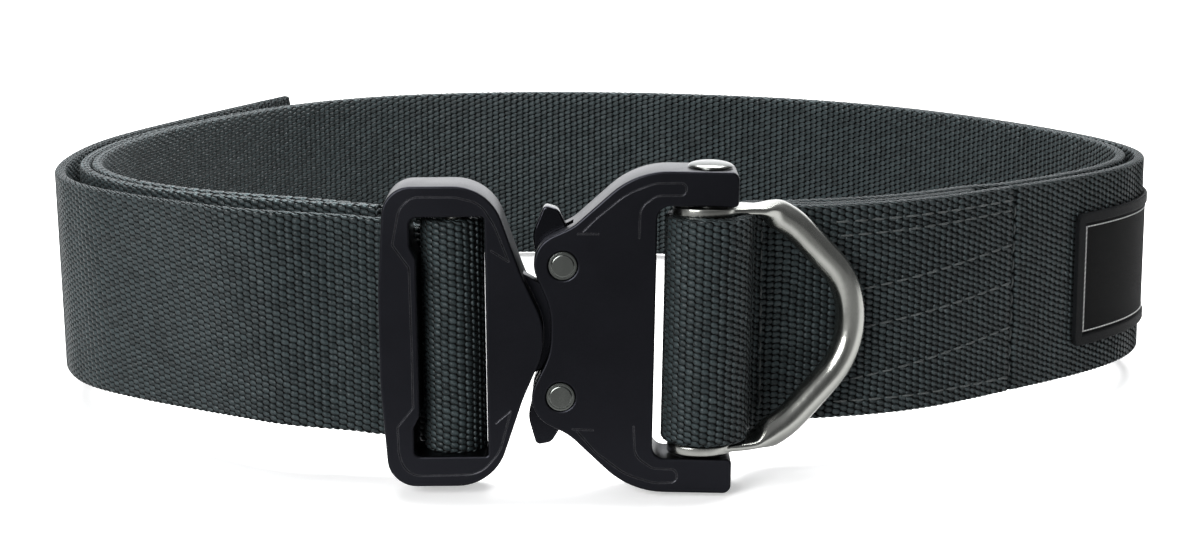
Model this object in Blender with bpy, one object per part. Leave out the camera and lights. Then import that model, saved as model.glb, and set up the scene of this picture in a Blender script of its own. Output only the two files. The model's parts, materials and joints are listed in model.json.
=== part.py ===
"""Rigger belt of doubled nylon tape, with a two-lever buckle and a swinging steel ring.

The belt is drawn level, with the tape's lower edge at height 0 and its front at y = 0, and then
tilted as one so that it rests on the buckle's lower edge and on the back of the tape.
Every size here is in millimetres and every angle in degrees; the meshes are made in metres.
"""
import math

import bmesh
import bpy
import numpy as np
from mathutils import Matrix, Vector

MM = 0.001

# Tape
TAPE_WIDTH = 44.5
TAPE_THICK = 2.4
GAP = 0.3
PLY = TAPE_THICK + GAP
TAPE_STEP = 5.0
FRONT_DEPTH = 45.0
BEND_STEP_DEG = 15.0
INNER_LEG_RISE = 0.2
FOLD_BACK_END_X = 78.0
FOLD_BACK_EASE = 10.0
TAIL_CUT = 14.0
TAIL_END_CLEAR = 15.0
RIGHT_BEND = (121.0, 80.0)
RIGHT_BEND_REACH = 32.0
RIGHT_BEND_STAND_OFF = 1.5

# Line midway between the two legs, seen from above, from the adjuster round to the ring
BELT_LINE = (
    # station, x, y
    ("behind_adjuster", -44.0, 12.5),
    ("front_left", -71.9, 22.1),
    ("left_corner_start", -96.9, 37.8),
    ("left_corner", -112.6, 62.5),
    ("left_side", -114.1, 92.0),
    ("left_rear_side", -107.1, 120.7),
    ("rear_left_start", -94.5, 147.5),
    ("rear_left_corner", -78.0, 172.1),
    ("rear_left", -54.5, 189.6),
    ("rear_middle_left", -25.9, 196.8),
    ("rear_middle", 3.7, 196.5),
    ("rear_middle_right", 32.6, 190.1),
    ("rear_right", 59.6, 178.1),
    ("rear_right_corner", 82.7, 159.7),
    ("right_rear_side", 101.3, 136.6),
    ("right_side", 115.7, 110.8),
    ("right_bend", 120.7, 82.0),
    ("right_front_side", 107.0, 56.2),
    ("front_right_middle", 85.3, 36.0),
    ("front_right", 61.3, 18.8),
    ("ring_seam", 33.0, 10.9),
)

# Outer face of the tail, which stands off the doubled belt; lean is how much further in its
# lower edge lies, and drop how far it hangs below the rest of the tape
TAIL_LINE = (
    # station, x, y, lean, drop
    ("behind_adjuster", -38.0, 2.9, 0.0, 1.7),
    ("adjuster_edge", -45.0, 3.0, 0.0, 1.2),
    ("flat_front", -55.0, 4.0, 0.8, 0.7),
    ("front_kink", -63.5, 4.2, 2.5, 0.3),
    ("front_left_near", -73.0, 6.2, 5.0, 0.0),
    ("front_left_far", -88.0, 15.8, 5.5, 0.0),
    ("left_corner_start", -101.0, 26.2, 4.8, 0.0),
    ("left_corner", -113.0, 39.8, 3.0, 0.0),
    ("left_side_near", -119.8, 57.0, 1.2, 0.0),
    ("left_side", -121.6, 79.0, 0.6, 0.0),
    ("left_side_far", -118.8, 105.0, 0.4, 0.0),
    ("rear_left_near", -110.2, 132.0, 0.2, 0.0),
    ("rear_left_far", -98.1, 162.6, 0.0, 0.0),
    ("tail_end", -80.8, 203.0, 0.0, 0.0),
)

# Buckle as a whole
BUCKLE_FRONT = -9.5
BUCKLE_THICK = 12.0
BUCKLE_MID_Y = BUCKLE_FRONT + BUCKLE_THICK / 2
MID_Z = TAPE_WIDTH / 2
ADJUSTER_MID_Z = MID_Z - 0.7
EDGE_CHAMFER = 0.8
LATCH_HALF_HEIGHT = 32.1
# How far each half leans to the right, and how far from it the tape still leans with it
LATCH_LEAN = 1.1
ADJUSTER_LEAN = -0.5
LEAN_HOLD = 13.0
LEAN_REACH = 42.0
ROUND_SIDES = 28

# Outlines seen from the front, as corners of the upper half with the radius that rounds each one
ADJUSTER_OUTLINE = (
    # x, z, radius
    (-11.1, 3.2, 12.0),
    (-15.2, 12.4, 20.0),
    (-21.2, 30.0, 10.0),
    (-41.8, 30.0, 5.8),
    (-43.2, 9.0, 40.0),
)
ADJUSTER_SLOT = (
    (-22.25, 23.9, 0.6),
    (-36.8, 23.9, 1.4),
    (-36.8, 18.2, 1.0),
    (-35.6, 15.8, 1.0),
)
TONGUE_OUTLINE = (
    (6.5, 7.0, 1.0),
    (3.4, 10.8, 0.8),
    (1.4, 10.8, 0.4),
    (1.4, 9.0, 0.3),
    (-1.2, 9.0, 1.0),
    (-3.0, 7.0, 1.5),
    (-9.0, 7.2, 3.0),
    (-16.0, 11.0, 0.3),
)
LATCH_OUTLINE = (
    (10.7, 25.2, 2.6),
    (26.4, 25.2, 0.9),
    (26.4, LATCH_HALF_HEIGHT, 1.6),
    (6.5, LATCH_HALF_HEIGHT, 17.0),
    (-5.7, 20.8, 9.0),
    (-15.2, 16.3, 6.2),
    (-9.6, 4.4, 14.0),
)
RELEASE_SLOT = (
    (7.2, 11.8, 1.5),
    (2.9, 11.8, 0.3),
    (2.9, 17.8, 1.5),
    (-5.6, 17.8, 0.3),
    (-5.6, 34.0, 0.3),
    (-22.0, 34.0, 0.3),
)
# Lever, measured from the middle of its rivet
LEVER_OUTLINE = (
    (8.2, -3.5, 0.3),
    (8.6, 0.9, 1.6),
    (4.3, 3.9, 2.5),
    (1.6, 4.4, 1.0),
    (0.9, 6.6, 1.5),
    (-1.0, 10.4, 2.0),
    (-3.9, 11.2, 1.0),
    (-6.1, 5.4, 6.0),
    (-4.8, -2.2, 3.0),
    (-2.4, -4.9, 3.0),
    (2.2, -4.9, 3.0),
    (4.6, -2.3, 0.4),
    (5.5, -2.2, 0.4),
    (5.9, -3.5, 0.3),
)
CORNER_STEPS = 5

SLOT_WALL_GAP = 2.2
TONGUE_THICK = 3.8
LEVER_X = -7.5
LEVER_Z = 13.1
LOWER_LEVER_TURN = 4.0
LEVER_CHAMFER = 0.25
RIVET_RADIUS = 2.8
RIVET_PROUD = 0.25

# Adjuster bar, round which the tape turns
BAR_X = -28.4
BAR_Y = -1.5
BAR_RADIUS = 2.8
BAR_HALF_LENGTH = 25.8
BAR_SEAT_DEPTH = 0.4
ROLL_OFF_DEG = 46.0
ROLL_RADIUS = BAR_RADIUS + GAP + TAPE_THICK / 2
ROLL_GAP_DEG = 5.0
ROLL_WIDTH = 46.5
ROLL_DROP = 2.05

# Hidden stretches of tape near the adjuster bar, seen from above
INNER_LEG_TURN_IN = ((-29.1, 5.1), (-33.7, 9.2), (-38.8, 12.0))
TAIL_LEAD_OUT = ((-33.1, 0.9), (-34.4, 2.9), (-36.4, 4.0))
ADJUSTER_DROP = ((-60.0, -40.0), (0.0, 0.9))

# Ring pin, with a shoulder that fills the loop of tape
PIN_X = 21.0
PIN_RADIUS = 3.4
PIN_SHOULDER_RADIUS = 5.9
PIN_SHOULDER_HALF = 22.4
PIN_HALF_LENGTH = 31.6
PIN_HEAD_RADIUS = 4.5
PIN_HEAD_HEIGHT = 1.1
PIN_HEAD_STEPS = 4
PIN_BORE_HALF = 40.0
LOOP_RADIUS = PIN_SHOULDER_RADIUS + GAP + TAPE_THICK / 2
LOOP_END_DEG = -285.0
LOOP_LEAD_IN = ((29.9, 6.6), (28.7, 2.0))
LOOP_LEAD_OUT = ((27.3, 7.9), (30.2, 11.2))

# Ring, measured from the pin's axis
RING_LEAN = 21.0
RING_ROD_RADIUS = 3.0
RING_EYE_RADIUS = 5.8
RING_EYE_HALF_THICK = 0.95
RING_EYE_Z = 23.8
RING_NARROW_START = 3.0
RING_FLAT_END = 9.5
RING_ROUND_START = 15.0
RING_FLAT_HALF_THICK = 0.92
RING_FLAT_HALF_WIDTH = 4.85
RING_FLAT_EDGE_POWER = 0.5
RING_ROD_SIDES = 12
RING_LINE = (
    # out, z, radius
    (4.9, 23.8, 0.0),
    (7.0, 23.8, 0.0),
    (14.6, 23.8, 18.0),
    (31.6, 7.2, 16.5),
)

# Label patch on the right of the belt
LABEL_X = 101.7
LABEL_LENGTH = 60.0
LABEL_HEIGHT = 29.5
LABEL_BOTTOM = 6.8
LABEL_THICK = 1.0

COLOURS = {
    # finish: colour, roughness, metallic
    "tape": ((0.035, 0.042, 0.040), 0.85, 0.0),
    "black_metal": ((0.012, 0.012, 0.015), 0.38, 0.6),
    "steel": ((0.62, 0.60, 0.56), 0.22, 1.0),
    "label": ((0.010, 0.010, 0.012), 0.55, 0.0),
}


def clear_scene():
    for item in list(bpy.data.objects):
        bpy.data.objects.remove(item, do_unlink=True)


def finish(kind):
    material = bpy.data.materials.get(kind)
    if material is None:
        colour, roughness, metallic = COLOURS[kind]
        material = bpy.data.materials.new(kind)
        material.use_nodes = True
        shader = material.node_tree.nodes["Principled BSDF"]
        shader.inputs["Base Color"].default_value = (*colour, 1.0)
        shader.inputs["Roughness"].default_value = roughness
        shader.inputs["Metallic"].default_value = metallic
    return material


def make_object(name, bm, kind, parent, place=(0.0, 0.0, 0.0), turn=0.0, turn_axis="Y"):
    """Turn a bmesh in millimetres into an object in metres, set at its place under its parent."""
    bmesh.ops.remove_doubles(bm, verts=bm.verts, dist=1e-5)
    bmesh.ops.recalc_face_normals(bm, faces=bm.faces)
    bmesh.ops.scale(bm, vec=(MM, MM, MM), verts=bm.verts)
    mesh = bpy.data.meshes.new(name)
    bm.to_mesh(mesh)
    bm.free()
    mesh.materials.append(finish(kind))
    item = bpy.data.objects.new(name, mesh)
    bpy.context.collection.objects.link(item)
    item.parent = parent
    item.matrix_local = (Matrix.Translation(Vector(place) * MM)
                         @ Matrix.Rotation(math.radians(turn), 4, turn_axis))
    return item


def make_helper(name, bm, parent, place, turn=0.0, turn_axis="Y"):
    """Shape that only cuts or joins another object."""
    helper = make_object(name, bm, "steel", parent, place, turn, turn_axis)
    helper.hide_render = True
    helper.display_type = "WIRE"
    return helper


def combine(item, other, operation):
    modifier = item.modifiers.new(other.name, "BOOLEAN")
    modifier.operation = operation
    modifier.solver = "EXACT"
    modifier.object = other


def rounded(corners, closed=True):
    """Round each corner of a line by its radius; an open line keeps its two ends."""
    line = []
    count = len(corners)
    for index, (x, z, radius) in enumerate(corners):
        here = Vector((x, z))
        if radius == 0.0 or (not closed and index in (0, count - 1)):
            line.append((x, z))
            continue
        before = (Vector(corners[index - 1][:2]) - here).normalized()
        after = (Vector(corners[(index + 1) % count][:2]) - here).normalized()
        half_angle = before.angle(after) / 2
        middle = here + (before + after).normalized() * radius / math.sin(half_angle)
        start = here + before * radius / math.tan(half_angle) - middle
        end = here + after * radius / math.tan(half_angle) - middle
        first = math.atan2(start.y, start.x)
        sweep = (math.atan2(end.y, end.x) - first + math.pi) % (2 * math.pi) - math.pi
        steps = max(1, min(CORNER_STEPS, round(radius)))
        for step in range(steps + 1):
            angle = first + sweep * step / steps
            line.append((middle.x + radius * math.cos(angle), middle.y + radius * math.sin(angle)))
    return line


def both_halves(upper_half):
    """Close an outline whose lower half mirrors its upper half."""
    lower_half = [(x, -z, radius) for x, z, radius in reversed(upper_half)]
    return rounded(list(upper_half) + lower_half)


def circle(x, z, radius, sides=ROUND_SIDES):
    turns = [2 * math.pi * side / sides for side in range(sides)]
    return [(x + radius * math.cos(turn), z + radius * math.sin(turn)) for turn in turns]


def area(loop):
    following = loop[1:] + loop[:1]
    return sum(x0 * z1 - x1 * z0 for (x0, z0), (x1, z1) in zip(loop, following)) / 2


def moved_in(loop, distance):
    """Move a loop to its left by a distance, which is into the metal on outlines and holes."""
    moved = []
    count = len(loop)
    for index, point in enumerate(loop):
        here = Vector(point)
        along = (here - Vector(loop[index - 1])).normalized()
        onward = (Vector(loop[(index + 1) % count]) - here).normalized()
        normal = (Vector((-along.y, along.x)) + Vector((-onward.y, onward.x))).normalized()
        spread = max(0.5, normal.dot(Vector((-along.y, along.x))))
        moved.append(tuple(here + normal * distance / spread))
    return moved


def plate(outline, holes, thickness, chamfer):
    """Plate that lies across the y axis, with its outer edges and its holes chamfered."""
    outline = outline if area(outline) > 0 else outline[::-1]
    holes = [hole if area(hole) < 0 else hole[::-1] for hole in holes]
    half = thickness / 2
    levels = [(-half, chamfer), (-half + chamfer, 0.0), (half - chamfer, 0.0), (half, chamfer)]
    if chamfer == 0.0:
        levels = [(-half, 0.0), (half, 0.0)]
    bm = bmesh.new()
    rims = {level: [] for level in range(len(levels))}
    for loop in [outline] + holes:
        rings = []
        for level, (y, inset) in enumerate(levels):
            points = moved_in(loop, inset)
            ring = [bm.verts.new((x, y, z)) for x, z in points]
            rings.append(ring)
            rims[level] += [bm.edges.new((ring[k - 1], ring[k])) for k in range(len(ring))]
        for lower, upper in zip(rings, rings[1:]):
            for k in range(len(loop)):
                bm.faces.new((lower[k - 1], lower[k], upper[k], upper[k - 1]))
    for level in (0, len(levels) - 1):
        bmesh.ops.triangle_fill(bm, edges=rims[level], use_beauty=True)
    return bm


def turned(profile, sides=ROUND_SIDES):
    """Round piece on the z axis from a profile of radius and height, closed at both ends."""
    bm = bmesh.new()
    rings = []
    for radius, z in profile:
        rings.append([bm.verts.new((x, y, z)) for x, y in circle(0.0, 0.0, radius, sides)])
    for lower, upper in zip(rings, rings[1:]):
        for k in range(sides):
            bm.faces.new((lower[k - 1], lower[k], upper[k], upper[k - 1]))
    bm.faces.new(rings[0])
    bm.faces.new(rings[-1])
    return bm


def curve_through(points, step):
    """Smooth line through rows of numbers, with a row at about every step along it."""
    rows = np.array(points, dtype=float)
    spans = np.hypot(*np.diff(rows[:, :2], axis=0).T)
    knots = np.concatenate(([0.0], np.cumsum(spans)))
    count = len(rows)
    system = np.eye(count)
    target = np.zeros_like(rows)
    for k in range(1, count - 1):
        system[k, k - 1:k + 2] = spans[k - 1], 2 * (spans[k - 1] + spans[k]), spans[k]
        target[k] = 6 * ((rows[k + 1] - rows[k]) / spans[k] - (rows[k] - rows[k - 1]) / spans[k - 1])
    bend = np.linalg.solve(system, target)
    line = []
    for s in np.linspace(0.0, knots[-1], int(knots[-1] / step) + 1):
        k = min(int(np.searchsorted(knots, s, side="right")) - 1, count - 2)
        a, b, span = knots[k + 1] - s, s - knots[k], spans[k]
        line.append((bend[k] * a ** 3 + bend[k + 1] * b ** 3) / (6 * span)
                    + (rows[k] / span - bend[k] * span / 6) * a
                    + (rows[k + 1] / span - bend[k + 1] * span / 6) * b)
    return np.array(line)


def left_of(line):
    """Unit vectors to the left of a line seen from above, one for each of its points."""
    along = np.gradient(line[:, :2], axis=0)
    along /= np.linalg.norm(along, axis=1)[:, None]
    return np.column_stack((-along[:, 1], along[:, 0]))


def arc(x, y, radius, start, end):
    steps = int(abs(end - start) / BEND_STEP_DEG)
    angles = np.radians(np.linspace(start, end, steps + 1))
    return np.column_stack((x + radius * np.cos(angles), y + radius * np.sin(angles)))


def tape(line, width, thickness, bottom, lean=None, drop=None, cut=0.0):
    """Strip of tape on edge along a line; lean moves the lower edge to the line's left."""
    count = len(line)
    width = np.broadcast_to(width, count)
    lean = np.zeros(count) if lean is None else lean
    drop = np.zeros(count) if drop is None else drop
    sideways = left_of(line)
    along = np.column_stack((sideways[:, 1], -sideways[:, 0]))
    bm = bmesh.new()
    sections = []
    for k in range(count):
        top_shift = -cut * along[k] if k == count - 1 else np.zeros(2)
        corners = []
        for side, z, shift in ((-0.5, bottom, lean[k]), (0.5, bottom, lean[k]),
                               (0.5, bottom + width[k], 0.0), (-0.5, bottom + width[k], 0.0)):
            x, y = line[k, :2] + sideways[k] * (side * thickness + shift)
            if z > bottom:
                x, y = np.array((x, y)) + top_shift
            corners.append(bm.verts.new((x, y, z - drop[k])))
        sections.append(corners)
    for near, far in zip(sections, sections[1:]):
        for k in range(4):
            bm.faces.new((near[k - 1], near[k], far[k], far[k - 1]))
    bm.faces.new(sections[0])
    bm.faces.new(sections[-1])
    return bm


def lean_with_buckle(bm):
    """Lean the tape near each half of the buckle by as much as that half leans."""
    for vertex in bm.verts:
        if vertex.co.y > FRONT_DEPTH:
            continue
        for x, mid_z, lean in ((PIN_X, MID_Z, LATCH_LEAN), (BAR_X, ADJUSTER_MID_Z, ADJUSTER_LEAN)):
            share = (LEAN_REACH - abs(vertex.co.x - x)) / (LEAN_REACH - LEAN_HOLD)
            share = min(1.0, max(0.0, share))
            vertex.co.x += share * (vertex.co.z - mid_z) * math.tan(math.radians(lean))
    return bm


def fold_back_share(line):
    """How much of a ply lies between the legs: one up to the fold back's end, then none."""
    on_right_front = (line[:, 1] < FRONT_DEPTH) & (line[:, 0] > 0.0)
    eased = np.clip((FOLD_BACK_END_X + FOLD_BACK_EASE - line[:, 0]) / FOLD_BACK_EASE, 0.0, 1.0)
    share = eased * eased * (3 - 2 * eased)
    return np.where(on_right_front, share, 0.0)


def make_legs(belt):
    """The doubled belt: the outer leg loops the ring pin and folds back between the legs."""
    middle = curve_through([row[1:] for row in BELT_LINE], TAPE_STEP)
    inward = -left_of(middle)
    to_bend = np.hypot(*(middle - RIGHT_BEND).T) / RIGHT_BEND_REACH
    stand_off = RIGHT_BEND_STAND_OFF * np.exp(-to_bend ** 2)[:, None]
    outer = middle - inward * (PLY / 2 + stand_off)
    face = outer - inward * (TAPE_THICK / 2 + GAP)
    fold_back = (outer + inward * PLY)[::-1]
    fold_back = fold_back[:int(np.argmax(fold_back[:, 0] > FOLD_BACK_END_X))]
    loop = arc(PIN_X, BUCKLE_MID_Y, LOOP_RADIUS, 0.0, LOOP_END_DEG)
    outer = np.vstack((outer, LOOP_LEAD_IN, loop, LOOP_LEAD_OUT, fold_back))
    strip = tape(outer, TAPE_WIDTH, TAPE_THICK, 0.0)
    make_object("webbing_outer_leg", lean_with_buckle(strip), "tape", belt)

    share = fold_back_share(middle)[:, None]
    inner = middle + inward * (PLY / 2 + share * PLY)
    inner = inner[inner_start(inner):]
    leave = math.radians(ROLL_OFF_DEG)
    lift_off = (BAR_X + ROLL_RADIUS * math.cos(leave), BAR_Y + ROLL_RADIUS * math.sin(leave))
    inner = curve_through(np.vstack((lift_off, INNER_LEG_TURN_IN, inner)), TAPE_STEP)
    near_adjuster = (inner[:, 0] < 0.0) & (inner[:, 1] < FRONT_DEPTH)
    drop = np.where(near_adjuster, np.interp(inner[:, 0], *ADJUSTER_DROP), 0.0)
    strip = tape(inner, TAPE_WIDTH, TAPE_THICK, INNER_LEG_RISE, drop=drop)
    make_object("webbing_inner_leg", lean_with_buckle(strip), "tape", belt)
    return face


def inner_start(inner):
    """First point of the inner leg that lies clear of its turn towards the adjuster bar."""
    return int(np.argmax(inner[:, 0] < INNER_LEG_TURN_IN[-1][0] - TAPE_STEP))


def make_tail(belt):
    """The free end: round the adjuster bar, behind the frame, and round the left of the belt."""
    roll = arc(BAR_X, BAR_Y, ROLL_RADIUS, ROLL_OFF_DEG - ROLL_GAP_DEG, -180.0)
    rows = curve_through([row[1:] for row in TAIL_LINE], TAPE_STEP)
    to_end = np.hypot(*(rows[:, :2] - rows[-1, :2]).T)
    rows = rows[(to_end > TAIL_END_CLEAR) | (to_end == 0.0)]
    tail = rows[:, :2] - left_of(rows) * TAPE_THICK / 2
    line = np.vstack((roll, TAIL_LEAD_OUT, tail))
    hidden = len(line) - len(tail)
    on_roll = np.arange(len(line)) < len(roll)
    width = np.where(on_roll, ROLL_WIDTH, TAPE_WIDTH)
    lean = np.concatenate((np.zeros(hidden), -rows[:, 2]))
    drop = np.concatenate((np.full(hidden, ROLL_DROP), rows[:, 3]))
    strip = tape(line, width, TAPE_THICK, 0.0, lean=lean, drop=drop, cut=TAIL_CUT)
    make_object("webbing_tail", lean_with_buckle(strip), "tape", belt)


def make_label(belt, face):
    """Patch sewn to the outer leg's face, wrapped round the right bend."""
    face = face + left_of(face) * LABEL_THICK / 2
    right_front = np.nonzero((face[:, 1] < RIGHT_BEND[1]) & (face[:, 0] > LABEL_X))[0]
    spans = np.hypot(*np.diff(face, axis=0).T)
    along = np.concatenate(([0.0], np.cumsum(spans)))
    end = along[right_front[-1]]
    places = np.linspace(end - LABEL_LENGTH, end, int(LABEL_LENGTH / TAPE_STEP) + 1)
    line = np.column_stack([np.interp(places, along, face[:, axis]) for axis in (0, 1)])
    patch = tape(line, LABEL_HEIGHT, LABEL_THICK, LABEL_BOTTOM)
    make_object("label_patch", patch, "label", belt)


def half_of_buckle(name, belt, x, mid_z, lean):
    """Empty that a half of the buckle hangs on, so that the half leans as one."""
    half = bpy.data.objects.new(name, None)
    bpy.context.collection.objects.link(half)
    half.parent = belt
    half.location = Vector((x, BUCKLE_MID_Y, mid_z)) * MM
    half.rotation_euler.y = math.radians(lean)
    return half


def make_adjuster(adjuster, latch):
    """Black frame whose slot holds the tape's bar, with a tongue that enters the latch body."""
    frame = plate(both_halves(ADJUSTER_OUTLINE), [both_halves(ADJUSTER_SLOT)],
                  BUCKLE_THICK, EDGE_CHAMFER)
    frame = make_object("adjuster_frame", frame, "black_metal", adjuster, (-BAR_X, 0.0, 0.0))
    tongue = plate(both_halves(TONGUE_OUTLINE), [], TONGUE_THICK, 0.0)
    combine(frame, make_helper("tongue_shape", tongue, latch, (-PIN_X, 0.0, 0.0)), "UNION")
    seat_radius = BAR_RADIUS + GAP
    seat_half = BAR_HALF_LENGTH + BAR_SEAT_DEPTH
    seat = turned([(seat_radius, -seat_half), (seat_radius, seat_half)])
    place = (0.0, BAR_Y - BUCKLE_MID_Y, 0.0)
    combine(frame, make_helper("bar_seat", seat, adjuster, place), "DIFFERENCE")
    bar = turned([(BAR_RADIUS, -BAR_HALF_LENGTH), (BAR_RADIUS, BAR_HALF_LENGTH)])
    make_object("adjuster_bar", bar, "steel", adjuster, place)


def make_latch(latch):
    """Black body of two plates joined at the ring's side, open to the left for the tongue."""
    middle = (-PIN_X, 0.0, 0.0)
    holes = [circle(LEVER_X, side * LEVER_Z, RIVET_RADIUS + GAP) for side in (1, -1)]
    body = plate(both_halves(LATCH_OUTLINE), holes, BUCKLE_THICK, EDGE_CHAMFER)
    body = make_object("latch_body", body, "black_metal", latch, middle)
    slot = plate(both_halves(RELEASE_SLOT), [], 2 * SLOT_WALL_GAP, 0.0)
    combine(body, make_helper("release_slot", slot, latch, middle), "DIFFERENCE")
    bore = turned([(PIN_RADIUS + GAP, -PIN_BORE_HALF), (PIN_RADIUS + GAP, PIN_BORE_HALF)])
    combine(body, make_helper("pin_bore", bore, latch, (0.0, 0.0, 0.0)), "DIFFERENCE")


def make_lever(latch, name, side, turn):
    """Sprung lever on its rivet; side is 1 above and -1 below, turn opens it."""
    outline = [(x, side * z) for x, z in rounded(LEVER_OUTLINE)]
    hole = circle(0.0, 0.0, RIVET_RADIUS + GAP)
    place = (LEVER_X - PIN_X, 0.0, side * LEVER_Z)
    lever = plate(outline, [hole], TONGUE_THICK, LEVER_CHAMFER)
    make_object("lever_" + name, lever, "black_metal", latch, place, -side * turn)
    half = BUCKLE_THICK / 2 + RIVET_PROUD
    rivet = turned([(RIVET_RADIUS - RIVET_PROUD, -half), (RIVET_RADIUS, RIVET_PROUD - half),
                    (RIVET_RADIUS, half - RIVET_PROUD), (RIVET_RADIUS - RIVET_PROUD, half)])
    make_object("rivet_" + name, rivet, "steel", latch, place, 90.0, "X")


def make_ring_pin(latch):
    """Steel pin through both arms, with a domed head on top and a shoulder inside the tape."""
    head_base = LATCH_HALF_HEIGHT + GAP
    profile = [(PIN_RADIUS, -PIN_HALF_LENGTH), (PIN_RADIUS, -PIN_SHOULDER_HALF),
               (PIN_SHOULDER_RADIUS, -PIN_SHOULDER_HALF), (PIN_SHOULDER_RADIUS, PIN_SHOULDER_HALF),
               (PIN_RADIUS, PIN_SHOULDER_HALF), (PIN_RADIUS, head_base)]
    for step in range(PIN_HEAD_STEPS + 1):
        rise = math.radians(90.0 * step / (PIN_HEAD_STEPS + 1))
        profile.append((PIN_HEAD_RADIUS * math.cos(rise),
                        head_base + PIN_HEAD_HEIGHT * math.sin(rise)))
    pin = turned(profile)
    make_object("ring_pin", pin, "steel", latch)


def eased(flat, round_size, start, out):
    """Size that changes smoothly from the ring's flat end to its round rod."""
    share = min(1.0, max(0.0, (out - start) / (RING_ROUND_START - start)))
    return flat + share * share * (3 - 2 * share) * (round_size - flat)


def make_ring(latch):
    """Steel rod bent to a D, its ends flattened into eyes that turn on the pin."""
    upper = list(RING_LINE)
    corners = upper + [(out, -z, radius) for out, z, radius in reversed(upper)]
    line = np.array(rounded(corners, closed=False))
    normals = left_of(line)
    bm = bmesh.new()
    sections = []
    for (out, z), (across, up) in zip(line, normals):
        thick = eased(RING_FLAT_HALF_THICK, RING_ROD_RADIUS, RING_FLAT_END, out)
        front = eased(RING_FLAT_HALF_WIDTH, RING_ROD_RADIUS, RING_FLAT_END, out)
        back = eased(RING_FLAT_HALF_WIDTH, RING_ROD_RADIUS, RING_NARROW_START, out)
        edge_power = eased(RING_FLAT_EDGE_POWER, 1.0, RING_FLAT_END, out)
        section = []
        for a, b in circle(0.0, 0.0, 1.0, RING_ROD_SIDES):
            wide, power = (back, 1.0) if b > 0 else (front, edge_power)
            rise = thick * math.copysign(abs(a) ** power, a)
            y = wide * math.copysign(abs(b) ** power, b)
            section.append(bm.verts.new((out + across * rise, y, z + up * rise)))
        sections.append(section)
    for near, far in zip(sections, sections[1:]):
        for k in range(RING_ROD_SIDES):
            bm.faces.new((near[k - 1], near[k], far[k], far[k - 1]))
    bm.faces.new(sections[0])
    bm.faces.new(sections[-1])
    ring = make_object("d_ring", bm, "steel", latch, turn=RING_LEAN, turn_axis="Z")
    hole = circle(0.0, 0.0, PIN_RADIUS + 2 * GAP)
    for name, side in (("ring_eye_upper", 1), ("ring_eye_lower", -1)):
        eye = plate(circle(0.0, 0.0, RING_EYE_RADIUS), [hole], 2 * RING_EYE_HALF_THICK, 0.0)
        place = (0.0, 0.0, side * RING_EYE_Z)
        combine(ring, make_helper(name, eye, latch, place, 90.0, "X"), "UNION")


def solid_corners():
    bpy.context.view_layer.update()
    return np.array([item.matrix_world @ vertex.co for item in bpy.data.objects
                     if item.type == "MESH" and not item.hide_render
                     for vertex in item.data.vertices])


def rest_on_floor(belt):
    """Tilt the belt onto its buckle and its back, and put the origin under its middle."""
    corners = solid_corners()
    back_y = corners[:, 1].max()
    front = corners[corners[:, 1] < back_y / 2]
    belt.rotation_euler.x = -math.atan((-front[:, 2] / (back_y - front[:, 1])).max())
    corners = solid_corners()
    low, high = corners.min(axis=0), corners.max(axis=0)
    belt.location = (-(low[0] + high[0]) / 2, -(low[1] + high[1]) / 2, -low[2])


def main():
    clear_scene()
    belt = bpy.data.objects.new("belt", None)
    bpy.context.collection.objects.link(belt)
    make_label(belt, make_legs(belt))
    make_tail(belt)
    adjuster = half_of_buckle("adjuster", belt, BAR_X, ADJUSTER_MID_Z, ADJUSTER_LEAN)
    latch = half_of_buckle("latch", belt, PIN_X, MID_Z, LATCH_LEAN)
    make_adjuster(adjuster, latch)
    make_latch(latch)
    make_lever(latch, "upper", 1, 0.0)
    make_lever(latch, "lower", -1, LOWER_LEVER_TURN)
    make_ring_pin(latch)
    make_ring(latch)
    rest_on_floor(belt)


main()
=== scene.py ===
import json
import math

import bmesh
import bpy
import numpy as np
from mathutils import Matrix, Vector


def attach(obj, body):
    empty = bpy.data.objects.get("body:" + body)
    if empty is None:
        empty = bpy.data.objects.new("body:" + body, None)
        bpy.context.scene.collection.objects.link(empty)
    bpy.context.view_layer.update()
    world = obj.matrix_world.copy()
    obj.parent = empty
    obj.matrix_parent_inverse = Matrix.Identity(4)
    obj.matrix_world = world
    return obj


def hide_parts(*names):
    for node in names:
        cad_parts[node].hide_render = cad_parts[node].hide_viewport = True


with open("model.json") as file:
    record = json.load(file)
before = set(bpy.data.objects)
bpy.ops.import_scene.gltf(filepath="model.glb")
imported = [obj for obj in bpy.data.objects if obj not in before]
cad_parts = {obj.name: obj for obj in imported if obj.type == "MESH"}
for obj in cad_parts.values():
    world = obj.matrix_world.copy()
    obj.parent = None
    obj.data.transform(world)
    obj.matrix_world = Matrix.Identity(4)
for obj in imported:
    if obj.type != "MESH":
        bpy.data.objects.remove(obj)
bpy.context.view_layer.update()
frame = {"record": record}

# The belt as a whole. It is drawn in millimetres with the tape's lower edge at z = 0 and its front
# at y = 0, and it rests tilted on its buckle and its back. The latch half leans with the ring pin.
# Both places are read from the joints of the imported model.
MM = 0.001
PIN_X = 21.0
BAR_X = -28.4
BUCKLE_MID_Y = -3.5
MID_Z = 22.25
ADJUSTER_MID_Z = 21.55
ADJUSTER_LEAN = -0.5
joints = {joint["name"]: joint for joint in frame["record"]["behaviour"]["joints"]}


def place_of(origin, backward, upright):
    """Place in the world, in metres, of a drawing in millimetres with these y and z axes."""
    back = Vector(backward).normalized()
    up = Vector(upright).normalized()
    turn = Matrix((back.cross(up), back, up)).transposed().to_4x4()
    return Matrix.Translation(origin) @ turn @ Matrix.Scale(MM, 4)


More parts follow.
